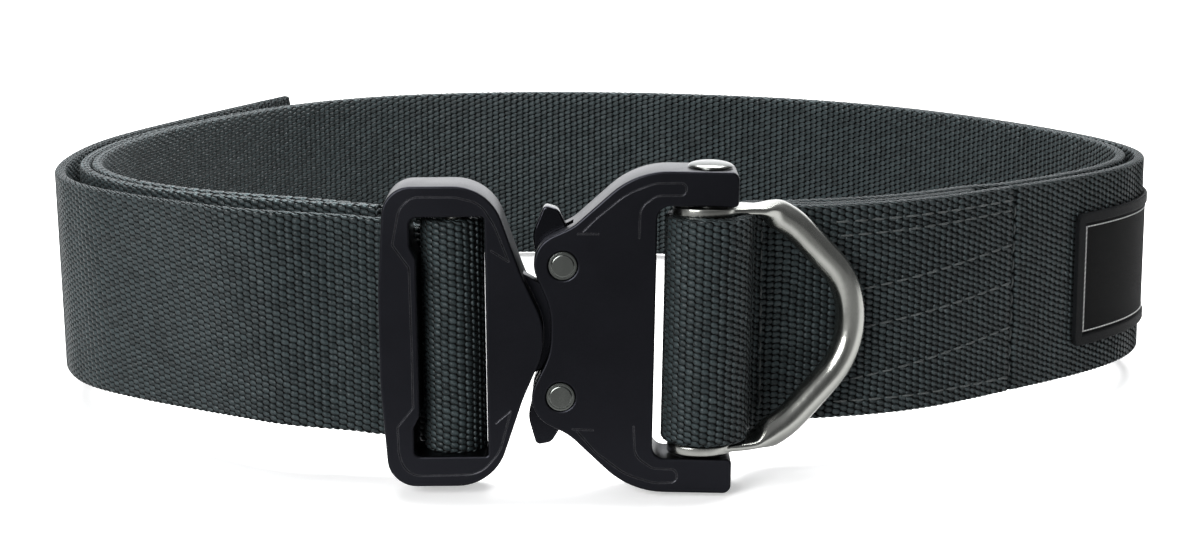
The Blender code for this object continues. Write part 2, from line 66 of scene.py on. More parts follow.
pin_middle = Vector(joints["ring_swing"]["pos_m"])
backward = Vector(joints["lower_lever_press"]["axis"])
latch = place_of(pin_middle, backward, -Vector(joints["ring_swing"]["axis"]))
belt = place_of(pin_middle, backward, Vector((1.0, 0.0, 0.0)).cross(backward))
belt = belt @ Matrix.Translation((-PIN_X, -BUCKLE_MID_Y, -MID_Z))
adjuster = (belt @ Matrix.Translation((BAR_X, BUCKLE_MID_Y, ADJUSTER_MID_Z))
            @ Matrix.Rotation(math.radians(ADJUSTER_LEAN), 4, "Y"))

# Webbing yarn. Nylon webbing 44.5 mm wide: plump warp knots in brick order, one column for each
# hidden weft, with a short ridge where the weft turns back at each edge. The knots are bump and
# colour from the place along and across the tape, with painted shade in the gaps between them and
# on the cut sides; the columns and the edges are real relief.
COLUMN_PITCH = 1.64
KNOT_PITCH = 1.26
KNOT_SLANT = -0.32
KNOT_HALF_LENGTH = 0.54
KNOT_HALF_HEIGHT = 0.49
KNOT_FULLNESS = 2.4
KNOT_BUMP = 0.00075
HOLLOW_RIM = 0.68
HOLLOW_FLOOR = 0.18
SWAY_SCALE = 0.16
SWAY_DETAIL = 3.0
SWAY_ALONG = 0.9
SWAY_ACROSS = 0.8
FIBRE_SCALE = 2600.0
FIBRE_DETAIL = 3.0
FIBRE_RELIEF = 0.22
CLOUD_SCALE = 60.0
YARN = (0.035, 0.048, 0.051)
# Painted shade: the near black colour that fills the low gaps between the knots.
GAP_PAINTED_SHADE = (0.0015, 0.002, 0.0022)
NO_LIGHT = (0.0, 0.0, 0.0)
# Each pair is how much a value adds, and what is there without it.
LIGHTNESS_BY_KNOT = (0.55, 0.6)
LIGHTNESS_BY_FIBRE = (0.5, 0.75)
LIGHTNESS_BY_CLOUD = (0.4, 0.8)
ROUGHNESS_BY_FIBRE = (0.3, 0.2)
DULL_GAP = 0.65
DULL_EDGE = 0.8
YARN_SHINE = 0.25
YARN_SHEEN = 0.03
YARN_SHEEN_SPREAD = 0.4


def calc(tree, operation, *values):
    """One Math node, fed by numbers or by other nodes' outputs."""
    node = tree.nodes.new("ShaderNodeMath")
    node.operation = operation
    for socket, value in zip(node.inputs, values):
        if isinstance(value, (int, float)):
            socket.default_value = value
        else:
            tree.links.new(value, socket)
    return node.outputs[0]


def ramp(tree, value, start, end, low=0.0, high=1.0):
    """Smooth change from low to high while a value goes from start to end."""
    node = tree.nodes.new("ShaderNodeMapRange")
    node.interpolation_type = "SMOOTHSTEP"
    tree.links.new(value, node.inputs["Value"])
    for label, limit in (("From Min", start), ("From Max", end), ("To Min", low), ("To Max", high)):
        node.inputs[label].default_value = limit
    return node.outputs[0]


def new_group(name, inputs, outputs):
    """Empty node group with number inputs and their defaults; returns its tree and its sockets."""
    tree = bpy.data.node_groups.new(name, "ShaderNodeTree")
    for label, default in inputs.items():
        socket = tree.interface.new_socket(name=label, in_out="INPUT", socket_type="NodeSocketFloat")
        socket.default_value = default
    for label in outputs:
        tree.interface.new_socket(name=label, in_out="OUTPUT", socket_type="NodeSocketFloat")
    given = tree.nodes.new("NodeGroupInput").outputs
    return tree, given, tree.nodes.new("NodeGroupOutput").inputs


def knots_of(tree, columns, knots, slant, shift):
    """Height and random shade of the knots in every second column, the even or the odd ones."""
    pairs = calc(tree, "MULTIPLY", calc(tree, "ADD", columns, shift), 0.5)
    across_column = calc(tree, "MULTIPLY_ADD", calc(tree, "FRACT", pairs), 2.0, -1.0)
    slanted = calc(tree, "MULTIPLY_ADD", across_column, slant, calc(tree, "ADD", knots, shift / 2))
    along_knot = calc(tree, "SUBTRACT", calc(tree, "FRACT", slanted), 0.5)
    wide = calc(tree, "ABSOLUTE", calc(tree, "DIVIDE", across_column, KNOT_HALF_LENGTH))
    high = calc(tree, "ABSOLUTE", calc(tree, "DIVIDE", along_knot, KNOT_HALF_HEIGHT))
    reach = calc(tree, "ADD", calc(tree, "POWER", wide, KNOT_FULLNESS),
                 calc(tree, "POWER", high, KNOT_FULLNESS))
    dome = calc(tree, "SQRT", calc(tree, "MAXIMUM", calc(tree, "SUBTRACT", 1.0, reach), 0.0))
    cell = tree.nodes.new("ShaderNodeCombineXYZ")
    tree.links.new(calc(tree, "FLOOR", pairs), cell.inputs[0])
    tree.links.new(calc(tree, "FLOOR", slanted), cell.inputs[1])
    cell.inputs[2].default_value = shift
    noise = tree.nodes.new("ShaderNodeTexWhiteNoise")
    tree.links.new(cell.outputs[0], noise.inputs["Vector"])
    return dome, noise.outputs["Value"]


def make_weave():
    tree, given, wanted = new_group(
        "woven_knots",
        {"Along": 0.0, "Across": 0.0, "Column Pitch": COLUMN_PITCH, "Knot Pitch": KNOT_PITCH,
         "Slant": KNOT_SLANT},
        ("Height", "Gap", "Shade"))
    columns = calc(tree, "DIVIDE", given["Along"], given["Column Pitch"])
    knots = calc(tree, "DIVIDE", given["Across"], given["Knot Pitch"])
    even, even_shade = knots_of(tree, columns, knots, given["Slant"], 0.0)
    odd, odd_shade = knots_of(tree, columns, knots, given["Slant"], 1.0)
    height = calc(tree, "MAXIMUM", even, odd)
    shade = tree.nodes.new("ShaderNodeMix")
    tree.links.new(calc(tree, "GREATER_THAN", odd, even), shade.inputs[0])
    tree.links.new(even_shade, shade.inputs[2])
    tree.links.new(odd_shade, shade.inputs[3])
    tree.links.new(height, wanted["Height"])
    tree.links.new(ramp(tree, height, HOLLOW_RIM, HOLLOW_FLOOR), wanted["Gap"])
    tree.links.new(shade.outputs[0], wanted["Shade"])
    return tree


weave = make_weave()


def new_material(name):
    """Material with its Principled shader; returns the material, its tree and the shader."""
    material = bpy.data.materials.new(name)
    material.use_nodes = True
    tree = material.node_tree
    return material, tree, tree.nodes["Principled BSDF"]


def add_noise(tree, scale, detail=2.0, stretch=(1.0, 1.0, 1.0)):
    """Noise over the object's own place, in metres."""
    place = tree.nodes.new("ShaderNodeTexCoord")
    mapping = tree.nodes.new("ShaderNodeMapping")
    mapping.inputs["Scale"].default_value = stretch
    noise = tree.nodes.new("ShaderNodeTexNoise")
    noise.inputs["Scale"].default_value = scale
    noise.inputs["Detail"].default_value = detail
    tree.links.new(place.outputs["Object"], mapping.inputs["Vector"])
    tree.links.new(mapping.outputs[0], noise.inputs["Vector"])
    return noise.outputs[0]


def mix_colours(tree, share, first, second):
    """Colour between two, each a fixed colour or a node's output."""
    mix = tree.nodes.new("ShaderNodeMix")
    mix.data_type = "RGBA"
    # A mix of colours has them in inputs 6 and 7, and gives its result in output 2.
    tree.links.new(share, mix.inputs[0])
    for socket, value in zip((mix.inputs[6], mix.inputs[7]), (first, second)):
        if isinstance(value, tuple):
            socket.default_value = (*value, 1.0)
        else:
            tree.links.new(value, socket)
    return mix.outputs[2]


def add_bump(tree, shader, height, distance):
    bump = tree.nodes.new("ShaderNodeBump")
    bump.inputs["Distance"].default_value = distance
    tree.links.new(height, bump.inputs["Height"])
    tree.links.new(bump.outputs[0], shader.inputs["Normal"])


def tape_place(tree):
    """Place on a tape as one vector, and its parts: along, across and a mark on the edges."""
    place = tree.nodes.new("ShaderNodeAttribute")
    place.attribute_name = "tape_mm"
    split = tree.nodes.new("ShaderNodeSeparateXYZ")
    tree.links.new(place.outputs["Vector"], split.inputs[0])
    return place.outputs["Vector"], split.outputs


def make_webbing():
    material, tree, shader = new_material("webbing")
    place, (along, across, edge) = tape_place(tree)
    sway = tree.nodes.new("ShaderNodeTexNoise")
    sway.inputs["Scale"].default_value = SWAY_SCALE
    sway.inputs["Detail"].default_value = SWAY_DETAIL
    tree.links.new(place, sway.inputs["Vector"])
    shifts = tree.nodes.new("ShaderNodeSeparateXYZ")
    tree.links.new(sway.outputs["Color"], shifts.inputs[0])
    knots = tree.nodes.new("ShaderNodeGroup")
    knots.node_tree = weave
    tree.links.new(calc(tree, "MULTIPLY_ADD", shifts.outputs[0], SWAY_ALONG, along),
                   knots.inputs["Along"])
    tree.links.new(calc(tree, "MULTIPLY_ADD", shifts.outputs[1], SWAY_ACROSS, across),
                   knots.inputs["Across"])
    gap = knots.outputs["Gap"]
    fibre = add_noise(tree, FIBRE_SCALE, FIBRE_DETAIL)
    lightness = calc(tree, "MULTIPLY_ADD", knots.outputs["Shade"], *LIGHTNESS_BY_KNOT)
    for noise, amounts in ((fibre, LIGHTNESS_BY_FIBRE),
                           (add_noise(tree, CLOUD_SCALE), LIGHTNESS_BY_CLOUD)):
        lightness = calc(tree, "MULTIPLY", lightness, calc(tree, "MULTIPLY_ADD", noise, *amounts))
    yarn = mix_colours(tree, lightness, NO_LIGHT, YARN)
    # Painted shade: where the knots are low, in the gaps between them, the colour turns near black.
    tree.links.new(mix_colours(tree, gap, yarn, GAP_PAINTED_SHADE), shader.inputs["Base Color"])
    roughness = calc(tree, "MULTIPLY_ADD", fibre, *ROUGHNESS_BY_FIBRE)
    tree.links.new(calc(tree, "MAXIMUM", roughness, gap), shader.inputs["Roughness"])
    # A dark metallic colour gives no highlight, so this paints shade into the gaps and onto the cut
    # sides.
    dull = calc(tree, "MAXIMUM", calc(tree, "MULTIPLY", gap, DULL_GAP),
                calc(tree, "MULTIPLY", edge, DULL_EDGE))
    tree.links.new(dull, shader.inputs["Metallic"])
    shader.inputs["Specular IOR Level"].default_value = YARN_SHINE
    shader.inputs["Sheen Weight"].default_value = YARN_SHEEN
    shader.inputs["Sheen Roughness"].default_value = YARN_SHEEN_SPREAD
    relief = calc(tree, "MULTIPLY_ADD", fibre, FIBRE_RELIEF, knots.outputs["Height"])
    add_bump(tree, shader, relief, KNOT_BUMP)
    return material


webbing = make_webbing()

# Doubled belt. One length of webbing goes from the adjuster bar round the waist as the inner leg,
# and back as the outer leg, which loops the ring pin and folds back between the two legs. The two
# legs stay apart by a hair, and the loop fits the shoulder of the ring pin.
TAPE_WIDTH = 44.5
TAPE_THICK = 2.4
GAP = 0.3
PLY = TAPE_THICK + GAP
TAPE_STEP = 5.0
FRONT_DEPTH = 45.0
BEND_STEP_DEG = 15.0
FOLD_BACK_END_X = 78.0
RIGHT_BEND = (121.0, 80.0)
RIGHT_BEND_REACH = 32.0
RIGHT_BEND_STAND_OFF = 1.5
BELT_LINE = (
    # station, x, y
    ("behind_adjuster", -44.0, 12.5),
    ("front_left", -71.9, 22.1),
    ("left_corner_start", -96.9, 37.8),
    ("left_corner", -112.6, 62.5),
    ("left_side", -114.1, 92.0),
    ("left_rear_side", -107.1, 120.7),
    ("rear_left_start", -94.5, 147.5),
    ("rear_left_corner", -78.0, 172.1),
    ("rear_left", -54.5, 189.6),
    ("rear_middle_left", -25.9, 196.8),
    ("rear_middle", 3.7, 196.5),
    ("rear_middle_right", 32.6, 190.1),
    ("rear_right", 59.6, 178.1),
    ("rear_right_corner", 82.7, 159.7),
    ("right_rear_side", 101.3, 136.6),
    ("right_side", 115.7, 110.8),
    ("right_bend", 120.7, 82.0),
    ("right_front_side", 107.0, 56.2),
    ("front_right_middle", 85.3, 36.0),
    ("front_right", 61.3, 18.8),
    ("ring_seam", 33.0, 10.9),
)
LOOP_RADIUS = 7.4
LOOP_END_DEG = -285.0
LOOP_LEAD_IN = ((29.9, 6.6), (28.7, 2.0))
LOOP_LEAD_OUT = ((27.3, 7.9), (30.2, 11.2))
LATCH_LEAN = 1.1
LEAN_HOLD = 13.0
LEAN_REACH = 42.0
ROWS_PER_COLUMN = 4
FINE_STEP = COLUMN_PITCH / ROWS_PER_COLUMN
FACE_ROWS = 14
EDGE_ROUND = 0.6
EDGE_STEPS = 4
RIB_HEIGHT = 0.4
EDGE_RIDGE = 0.22
RIDGE_LEVEL = 0.6
CUT_REACH = 30.0
LOOP_RISE = 0.9
LOOP_RISE_END_X = 42.0
LOOP_RISE_EASE = 12.0
RIGHT_FRONT_X = 30.0
SAG = 1.6
SAG_X = 31.0
SAG_REACH = 5.0
SAG_START_Y = 4.2
SAG_EASE = 2.0
FURROW_X = 87.3
FURROW_DEPTH = 0.8
FURROW_REACH = 0.5


def curve_through(points, step):
    """Smooth line through rows of numbers, with a row at about every step along it."""
    rows = np.array(points, dtype=float)
    spans = np.hypot(*np.diff(rows[:, :2], axis=0).T)
    knots = np.concatenate(([0.0], np.cumsum(spans)))
    count = len(rows)
    system = np.eye(count)
    target = np.zeros_like(rows)
    for k in range(1, count - 1):
        system[k, k - 1:k + 2] = spans[k - 1], 2 * (spans[k - 1] + spans[k]), spans[k]
        target[k] = 6 * ((rows[k + 1] - rows[k]) / spans[k] - (rows[k] - rows[k - 1]) / spans[k - 1])
    bend = np.linalg.solve(system, target)
    places = np.linspace(0.0, knots[-1], int(knots[-1] / step) + 1)
    k = np.clip(np.searchsorted(knots, places, side="right") - 1, 0, count - 2)
    a = (knots[k + 1] - places)[:, None]
    b = (places - knots[k])[:, None]
    span = spans[k][:, None]
    return ((bend[k] * a ** 3 + bend[k + 1] * b ** 3) / (6 * span)
            + (rows[k] / span - bend[k] * span / 6) * a
            + (rows[k + 1] / span - bend[k + 1] * span / 6) * b)


def left_of(line):
    """Unit vectors to the left of a line seen from above, one for each of its points."""
    along = np.gradient(line[:, :2], axis=0)
    along /= np.linalg.norm(along, axis=1)[:, None]
    return np.column_stack((-along[:, 1], along[:, 0]))


def arc(x, y, radius, start, end):
    """Points on an arc from one angle to another, in degrees."""
    steps = int(abs(end - start) / BEND_STEP_DEG)
    angles = np.radians(np.linspace(start, end, steps + 1))
    return np.column_stack((x + radius * np.cos(angles), y + radius * np.sin(angles)))


def lengths_along(line):
    """Length of a line from its start to each of its points, seen from above."""
    spans = np.hypot(*np.diff(line[:, :2], axis=0).T)
    return np.concatenate(([0.0], np.cumsum(spans)))


def lean_with_buckle(points):
    """Lean the tape near each half of the buckle by as much as that half leans."""
    leant = points.copy()
    in_front = points[:, 1] < FRONT_DEPTH
    for x, mid_z, lean in ((PIN_X, MID_Z, LATCH_LEAN), (BAR_X, ADJUSTER_MID_Z, ADJUSTER_LEAN)):
        share = (LEAN_REACH - np.abs(leant[:, 0] - x)) / (LEAN_REACH - LEAN_HOLD)
        share = np.clip(share, 0.0, 1.0) * in_front
        leant[:, 0] += share * (points[:, 2] - mid_z) * math.tan(math.radians(lean))
    return leant


def to_world(points, place):
    """Rows of points in millimetres taken to a place in the world."""
    matrix = np.array(place)
    return points @ matrix[:3, :3].T + matrix[:3, 3]


def new_piece(name, mesh, material, body, replaced=()):
    """Object for a finished mesh, riding on its body and standing for its nodes."""
    mesh.materials.append(material)
    piece = bpy.data.objects.new(name, mesh)
    bpy.context.scene.collection.objects.link(piece)
    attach(piece, body)
    if replaced:
        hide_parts(*replaced)
    return piece


def tape_section(thick, edge_round, face_rows):
    """Outline of the cut tape: side to the left, share of the width, and rise past that share."""
    half = thick / 2
    turns = [math.pi * step / EDGE_STEPS for step in range(1, EDGE_STEPS)]
    shares = [row / face_rows for row in range(face_rows + 1)]
    section = [(-half, share, 0.0) for share in shares]
    section += [(-half * math.cos(turn), 1.0, edge_round * math.sin(turn)) for turn in turns]
    section += [(half, share, 0.0) for share in reversed(shares)]
    section += [(half * math.cos(turn), 0.0, -edge_round * math.sin(turn)) for turn in turns]
    return np.array(section)


def strip_surface(rows, section, thick, edge_round, rib, ridge, cut, furrow):
    """Points of a strip in drawing millimetres, and the place of each along and across it."""
    half = thick / 2
    along_mm = lengths_along(rows)
    sideways = left_of(rows)
    onward = np.column_stack((sideways[:, 1], -sideways[:, 0]))
    side, share, rise = (column[None, :] for column in section.T)
    bottom, width, lean = (rows[:, k][:, None] for k in (2, 3, 4))
    longer = lengths_along(rows[:, :2] + sideways * half) - along_mm
    along = along_mm[:, None] + longer[:, None] * side / half
    wave = np.abs(np.cos(math.pi * along / COLUMN_PITCH))
    height = edge_round + share * (width - 2 * edge_round) + rise
    height = height + np.sign(rise) * ridge * (wave - RIDGE_LEVEL)
    ribbed = side + np.sign(side) * rib * (wave - 1.0) * np.isclose(np.abs(side), half)
    ribbed = ribbed - np.reshape(furrow, (-1, 1)) * (ribbed > 0.0)
    shift = ribbed + lean * (1.0 - height / width)
    to_end = along_mm[-1] - along_mm
    back = cut * (height / width) * np.clip(1.0 - to_end / CUT_REACH, 0.0, 1.0)[:, None]
    x = rows[:, 0][:, None] + sideways[:, 0][:, None] * shift - onward[:, 0][:, None] * back
    y = rows[:, 1][:, None] + sideways[:, 1][:, None] * shift - onward[:, 1][:, None] * back
    points = np.stack((x, y, bottom + height), axis=2).reshape(-1, 3)
    round_edge = math.pi * (half + edge_round) / 4
    past = np.abs(np.arctan2(rise, 1.0 - np.abs(side) / half))
    across = round_edge + share * (width - 2 * edge_round) + np.sign(rise) * past * round_edge / 2
    on_edge = np.broadcast_to(rise != 0.0, height.shape)
    places = np.column_stack([values.reshape(-1) for values in (along - back, across, on_edge)])
    return points, places.astype(np.float32)


def tube_faces(rings, around):
    """Faces round a closed tube with this many rings of points, and over its two ends."""
    faces = []
    for near in range(0, (rings - 1) * around, around):
        far = near + around
        faces += [(near + j, near + (j + 1) % around, far + (j + 1) % around, far + j)
                  for j in range(around)]
    last = (rings - 1) * around
    return faces + [tuple(reversed(range(around))), tuple(range(last, last + around))]


def flip_if_inside_out(mesh):
    """Turn a closed mesh's faces round when they point inward."""
    bm = bmesh.new()
    bm.from_mesh(mesh)
    if bm.calc_volume(signed=True) < 0.0:
        bmesh.ops.reverse_faces(bm, faces=bm.faces)
        bm.to_mesh(mesh)
    bm.free()


def strip_mesh(name, rows, thick=TAPE_THICK, edge_round=EDGE_ROUND, face_rows=FACE_ROWS,
               rib=RIB_HEIGHT, ridge=EDGE_RIDGE, cut=0.0, furrow=0.0):
    """Closed strip along rows of x, y, bottom, width and lean, woven in columns."""
    section = tape_section(thick, edge_round, face_rows)
    points, places = strip_surface(rows, section, thick, edge_round, rib, ridge, cut, furrow)
    faces = tube_faces(len(rows), len(section))
    mesh = bpy.data.meshes.new(name)
    mesh.from_pydata(to_world(lean_with_buckle(points), belt).tolist(), [], faces)
    mesh.attributes.new("tape_mm", "FLOAT_VECTOR", "POINT")
    mesh.attributes["tape_mm"].data.foreach_set("vector", places.ravel())
    mesh.polygons.foreach_set("use_smooth", [True] * (len(faces) - 2) + [False] * 2)
    mesh.update()
    flip_if_inside_out(mesh)
    return mesh


def tape_rows(line, bottom=0.0, width=TAPE_WIDTH, lean=0.0):
    """Rows of x, y, bottom, width and lean for a line seen from above."""
    count = len(line)
    columns = [np.broadcast_to(value, count) for value in (bottom, width, lean)]
    return np.column_stack([line[:, 0], line[:, 1], *columns])


belt_middle = curve_through([row[1:] for row in BELT_LINE], TAPE_STEP)
inward = -left_of(belt_middle)
to_bend = np.hypot(*(belt_middle - RIGHT_BEND).T) / RIGHT_BEND_REACH
stand_off = RIGHT_BEND_STAND_OFF * np.exp(-to_bend ** 2)[:, None]
outer_leg = belt_middle - inward * (PLY / 2 + stand_off)
fold_back = (outer_leg + inward * PLY)[::-1]
fold_back = fold_back[:int(np.argmax(fold_back[:, 0] > FOLD_BACK_END_X))]
pin_loop = arc(PIN_X, BUCKLE_MID_Y, LOOP_RADIUS, 0.0, LOOP_END_DEG)
outer_path = np.vstack((outer_leg, LOOP_LEAD_IN, pin_loop, LOOP_LEAD_OUT, fold_back))
outer_rows = curve_through(tape_rows(outer_path), FINE_STEP)
at_front = outer_rows[:, 1] < FRONT_DEPTH
by_loop = (np.clip((outer_rows[:, 1] - SAG_START_Y) / SAG_EASE, 0.0, 1.0)
           * np.exp(-((outer_rows[:, 0] - SAG_X) / SAG_REACH) ** 2) * at_front)
on_loop = (np.clip((LOOP_RISE_END_X - outer_rows[:, 0]) / LOOP_RISE_EASE, 0.0, 1.0)
           * (outer_rows[:, 0] > 0.0) * at_front)
outer_rows[:, 2] -= SAG * by_loop
outer_rows[:, 3] += SAG * by_loop + LOOP_RISE * on_loop
before_loop = np.arange(len(outer_rows)) < int(np.argmin(outer_rows[:, 1]))
right_front = at_front & before_loop & (outer_rows[:, 0] > RIGHT_FRONT_X)
furrow = (FURROW_DEPTH * np.exp(-((outer_rows[:, 0] - FURROW_X) / FURROW_REACH) ** 2)
          * right_front)
piece = new_piece("webbing_outer", strip_mesh("webbing_outer", outer_rows, furrow=furrow),
                  webbing, "belt", ["webbing_outer_leg"])

# Inner leg. The same webbing on the side of the waist; at the left it turns in behind the adjuster
# frame and lies on the round bar, a little lower than the rest because the frame pulls it down.
BAR_Y = -1.5
BAR_RADIUS = 2.8
INNER_LEG_RISE = 0.2
FOLD_BACK_EASE = 10.0
ROLL_LOOSE = 0.85
ROLL_RADIUS = BAR_RADIUS + GAP + TAPE_THICK / 2 + ROLL_LOOSE
ROLL_SHIFT = 0.6
ROLL_X = BAR_X - ROLL_SHIFT
ROLL_Y = BAR_Y + ROLL_LOOSE
ROLL_OFF_DEG = 46.0
INNER_LEG_TURN_IN = ((-29.1, 5.1), (-33.7, 9.2), (-38.8, 12.0))
ADJUSTER_DROP_X = (-60.0, -40.0)
ADJUSTER_DROP = (0.0, 0.9)


def smooth(share):
    """Share from 0 to 1 that leaves and arrives slowly."""
    return share * share * (3 - 2 * share)


on_right_front = (belt_middle[:, 1] < FRONT_DEPTH) & (belt_middle[:, 0] > 0.0)
beside_fold = (FOLD_BACK_END_X + FOLD_BACK_EASE - belt_middle[:, 0]) / FOLD_BACK_EASE
ply_share = (smooth(np.clip(beside_fold, 0.0, 1.0)) * on_right_front)[:, None]
inner_leg = belt_middle + inward * (PLY / 2 + ply_share * PLY)
inner_leg = inner_leg[int(np.argmax(inner_leg[:, 0] < INNER_LEG_TURN_IN[-1][0] - TAPE_STEP)):]
leave = math.radians(ROLL_OFF_DEG)
lift_off = (ROLL_X + ROLL_RADIUS * math.cos(leave), ROLL_Y + ROLL_RADIUS * math.sin(leave))
inner_path = curve_through(np.vstack((lift_off, INNER_LEG_TURN_IN, inner_leg)), TAPE_STEP)
near_adjuster = (inner_path[:, 0] < 0.0) & (inner_path[:, 1] < FRONT_DEPTH)
drop = np.interp(inner_path[:, 0], ADJUSTER_DROP_X, ADJUSTER_DROP) * near_adjuster
inner_rows = curve_through(tape_rows(inner_path, INNER_LEG_RISE - drop), FINE_STEP)
piece = new_piece("webbing_inner", strip_mesh("webbing_inner", inner_rows), webbing, "belt",
                  ["webbing_inner_leg"])

# Tail. The free end of the same webbing comes round the bar, where it is squeezed a little wider,
# goes out behind the frame and lies loosely over the left front; its end is cut on a slant.
TAIL_CUT = 14.0
ROLL_GAP_DEG = 5.0
ROLL_END_DEG = -180.0
ROLL_WIDTH = 47.1
ROLL_DROP = 2.65
TAIL_LEAD_OUT = ((-34.1, 1.0), (-34.9, 2.8), (-36.4, 3.9))
TAIL_LINE = (
    # station, x, y, lean, drop
    ("behind_adjuster", -38.0, 2.9, 0.0, 1.7),
    ("adjuster_edge", -45.0, 3.0, 0.0, 1.2),
    ("flat_front", -55.0, 4.0, 0.8, 0.7),
    ("front_kink", -63.5, 4.2, 2.0, 0.3),
    ("front_left_near", -73.0, 6.2, 3.9, 0.0),
    ("front_left_far", -88.0, 15.8, 3.9, 0.0),
    ("left_corner_start", -101.0, 26.2, 3.0, 0.0),
    ("left_corner", -113.0, 39.8, 1.6, 0.0),
    ("left_side_near", -119.8, 57.0, 0.9, 0.0),
    ("left_side", -121.6, 79.0, 0.4, 0.0),
    ("left_side_far", -118.8, 105.0, 0.2, 0.0),
    ("rear_left_near", -110.2, 132.0, 0.2, 0.0),
    ("rear_left_far", -98.1, 162.6, 0.0, 0.0),
    ("tail_end", -80.8, 203.0, 0.0, 0.0),
)
roll = arc(ROLL_X, ROLL_Y, ROLL_RADIUS, ROLL_OFF_DEG - ROLL_GAP_DEG, ROLL_END_DEG)
tail_face = curve_through([row[1:] for row in TAIL_LINE], TAPE_STEP)
tail_middle = tail_face[:, :2] - left_of(tail_face) * TAPE_THICK / 2
roll_rows = tape_rows(roll, -ROLL_DROP, ROLL_WIDTH)
lead_rows = tape_rows(np.array(TAIL_LEAD_OUT), -ROLL_DROP)
free_rows = tape_rows(tail_middle, -tail_face[:, 3], TAPE_WIDTH, -tail_face[:, 2])
tail_rows = curve_through(np.vstack((roll_rows, lead_rows, free_rows)), FINE_STEP)
tail_rows[:, 3] = np.clip(tail_rows[:, 3], TAPE_WIDTH, ROLL_WIDTH)
piece = new_piece("webbing_free_end", strip_mesh("webbing_free_end", tail_rows, cut=TAIL_CUT),
                  webbing, "belt", ["webbing_tail"])

# Stitching. Thick dark nylon thread sews the fold back through all layers: two rows along the top,
# one along the bottom, three slanted rows, an upright row at the fold's end and one by the ring.
# Every stitch is a short arch of thread that dips into the webbing at both ends.
THREAD = (0.10, 0.115, 0.115)
THREAD_RADIUS = 0.26
THREAD_END = 0.55
THREAD_TWIST_SCALE = 1800.0
THREAD_BUMP = 0.0002
ROUGHNESS_BY_TWIST = (0.3, 0.35)
STITCH_LENGTH = 2.7
STITCH_GAP = 0.9
STITCH_RISE = 0.24
STITCH_SIDES = 8
STITCH_RINGS = 7
SEAMS = (
    # start x, start z, end x, end z
    (87.2, 3.5, 87.5, 41.4),
    (47.5, 40.9, 87.0, 41.6),
    (48.5, 38.0, 87.0, 39.5),
    (47.5, 3.6, 87.0, 3.3),
    (50.0, 26.4, 87.2, 32.2),
    (50.0, 18.4, 87.0, 24.0),
    (47.5, 7.6, 87.2, 14.4),
    (31.6, 3.5, 31.6, 41.0),
)


def make_thread():
    material, tree, shader = new_material("sewing_thread")
    twist = add_noise(tree, THREAD_TWIST_SCALE)
    # Painted shade: the thread turns near black where its twist bump is low.
    tree.links.new(mix_colours(tree, twist, GAP_PAINTED_SHADE, THREAD), shader.inputs["Base Color"])
    tree.links.new(calc(tree, "MULTIPLY_ADD", twist, *ROUGHNESS_BY_TWIST),
                   shader.inputs["Roughness"])
    add_bump(tree, shader, twist, THREAD_BUMP)
    return material


outer_along = lengths_along(outer_rows)
outer_left = left_of(outer_rows)


def on_outer_face(u, v):
    """Point on the outer leg's outer face, u along it and v up it, and the way out from there."""
    x, y, out_x, out_y = (np.interp(u, outer_along, column)
                          for column in (*outer_rows.T[:2], *outer_left.T))
    outward = Vector((out_x, out_y, 0.0)).normalized()
    return Vector((x, y, v)) + outward * (TAPE_THICK / 2), outward


def skin(bm, rings, capped=True):
    """Faces between rings of points that follow each other, and over the first and last ring."""
    for near, far in zip(rings, rings[1:]):
        for k in range(len(near)):
            bm.faces.new((near[k - 1], near[k], far[k], far[k - 1]))
    if capped:
        bm.faces.new(rings[0])
        bm.faces.new(rings[-1])


def add_stitch(bm, start, end, outward):
    """Arch of thread from start to end that rises outward."""
    run = end - start
    side = run.cross(outward).normalized()
    rings = []
    for k in range(STITCH_RINGS + 1):
        share = k / STITCH_RINGS
        arch = math.sin(math.pi * share)
        radius = THREAD_RADIUS * (THREAD_END + (1.0 - THREAD_END) * arch)
        middle = start + run * share + outward * (STITCH_RISE * arch - THREAD_RADIUS * THREAD_END)
        turns = [2 * math.pi * j / STITCH_SIDES for j in range(STITCH_SIDES)]
        rings.append([bm.verts.new(middle + side * radius * math.cos(turn)
                                   + outward * radius * math.sin(turn)) for turn in turns])
    skin(bm, rings)


def bmesh_to_mesh(name, bm, place):
    """Finish a bmesh drawn in millimetres as a mesh in the world, with its faces pointing out."""
    bmesh.ops.recalc_face_normals(bm, faces=bm.faces)
    bmesh.ops.transform(bm, matrix=place, verts=bm.verts)
    mesh = bpy.data.meshes.new(name)
    bm.to_mesh(mesh)
    bm.free()
    mesh.polygons.foreach_set("use_smooth", [True] * len(mesh.polygons))
    return mesh


stitches = bmesh.new()
for start_x, start_z, end_x, end_z in SEAMS:
    start_u, end_u = np.interp((start_x, end_x), outer_rows[right_front][::-1, 0],
                               outer_along[right_front][::-1])
    run_u, run_z = end_u - start_u, end_z - start_z
    sunk = np.interp(start_u, outer_along, furrow)
    count = int(math.hypot(run_u, run_z) / (STITCH_LENGTH + STITCH_GAP))
    for k in range(count):
        shares = np.array((k, k + STITCH_LENGTH / (STITCH_LENGTH + STITCH_GAP))) / count
        (start, outward), (end, end_outward) = (
            on_outer_face(start_u + run_u * share, start_z + run_z * share) for share in shares)
        add_stitch(stitches, start - outward * sunk, end - end_outward * sunk, outward)
new_piece("stitching", bmesh_to_mesh("stitching", stitches, belt), make_thread(), "belt")

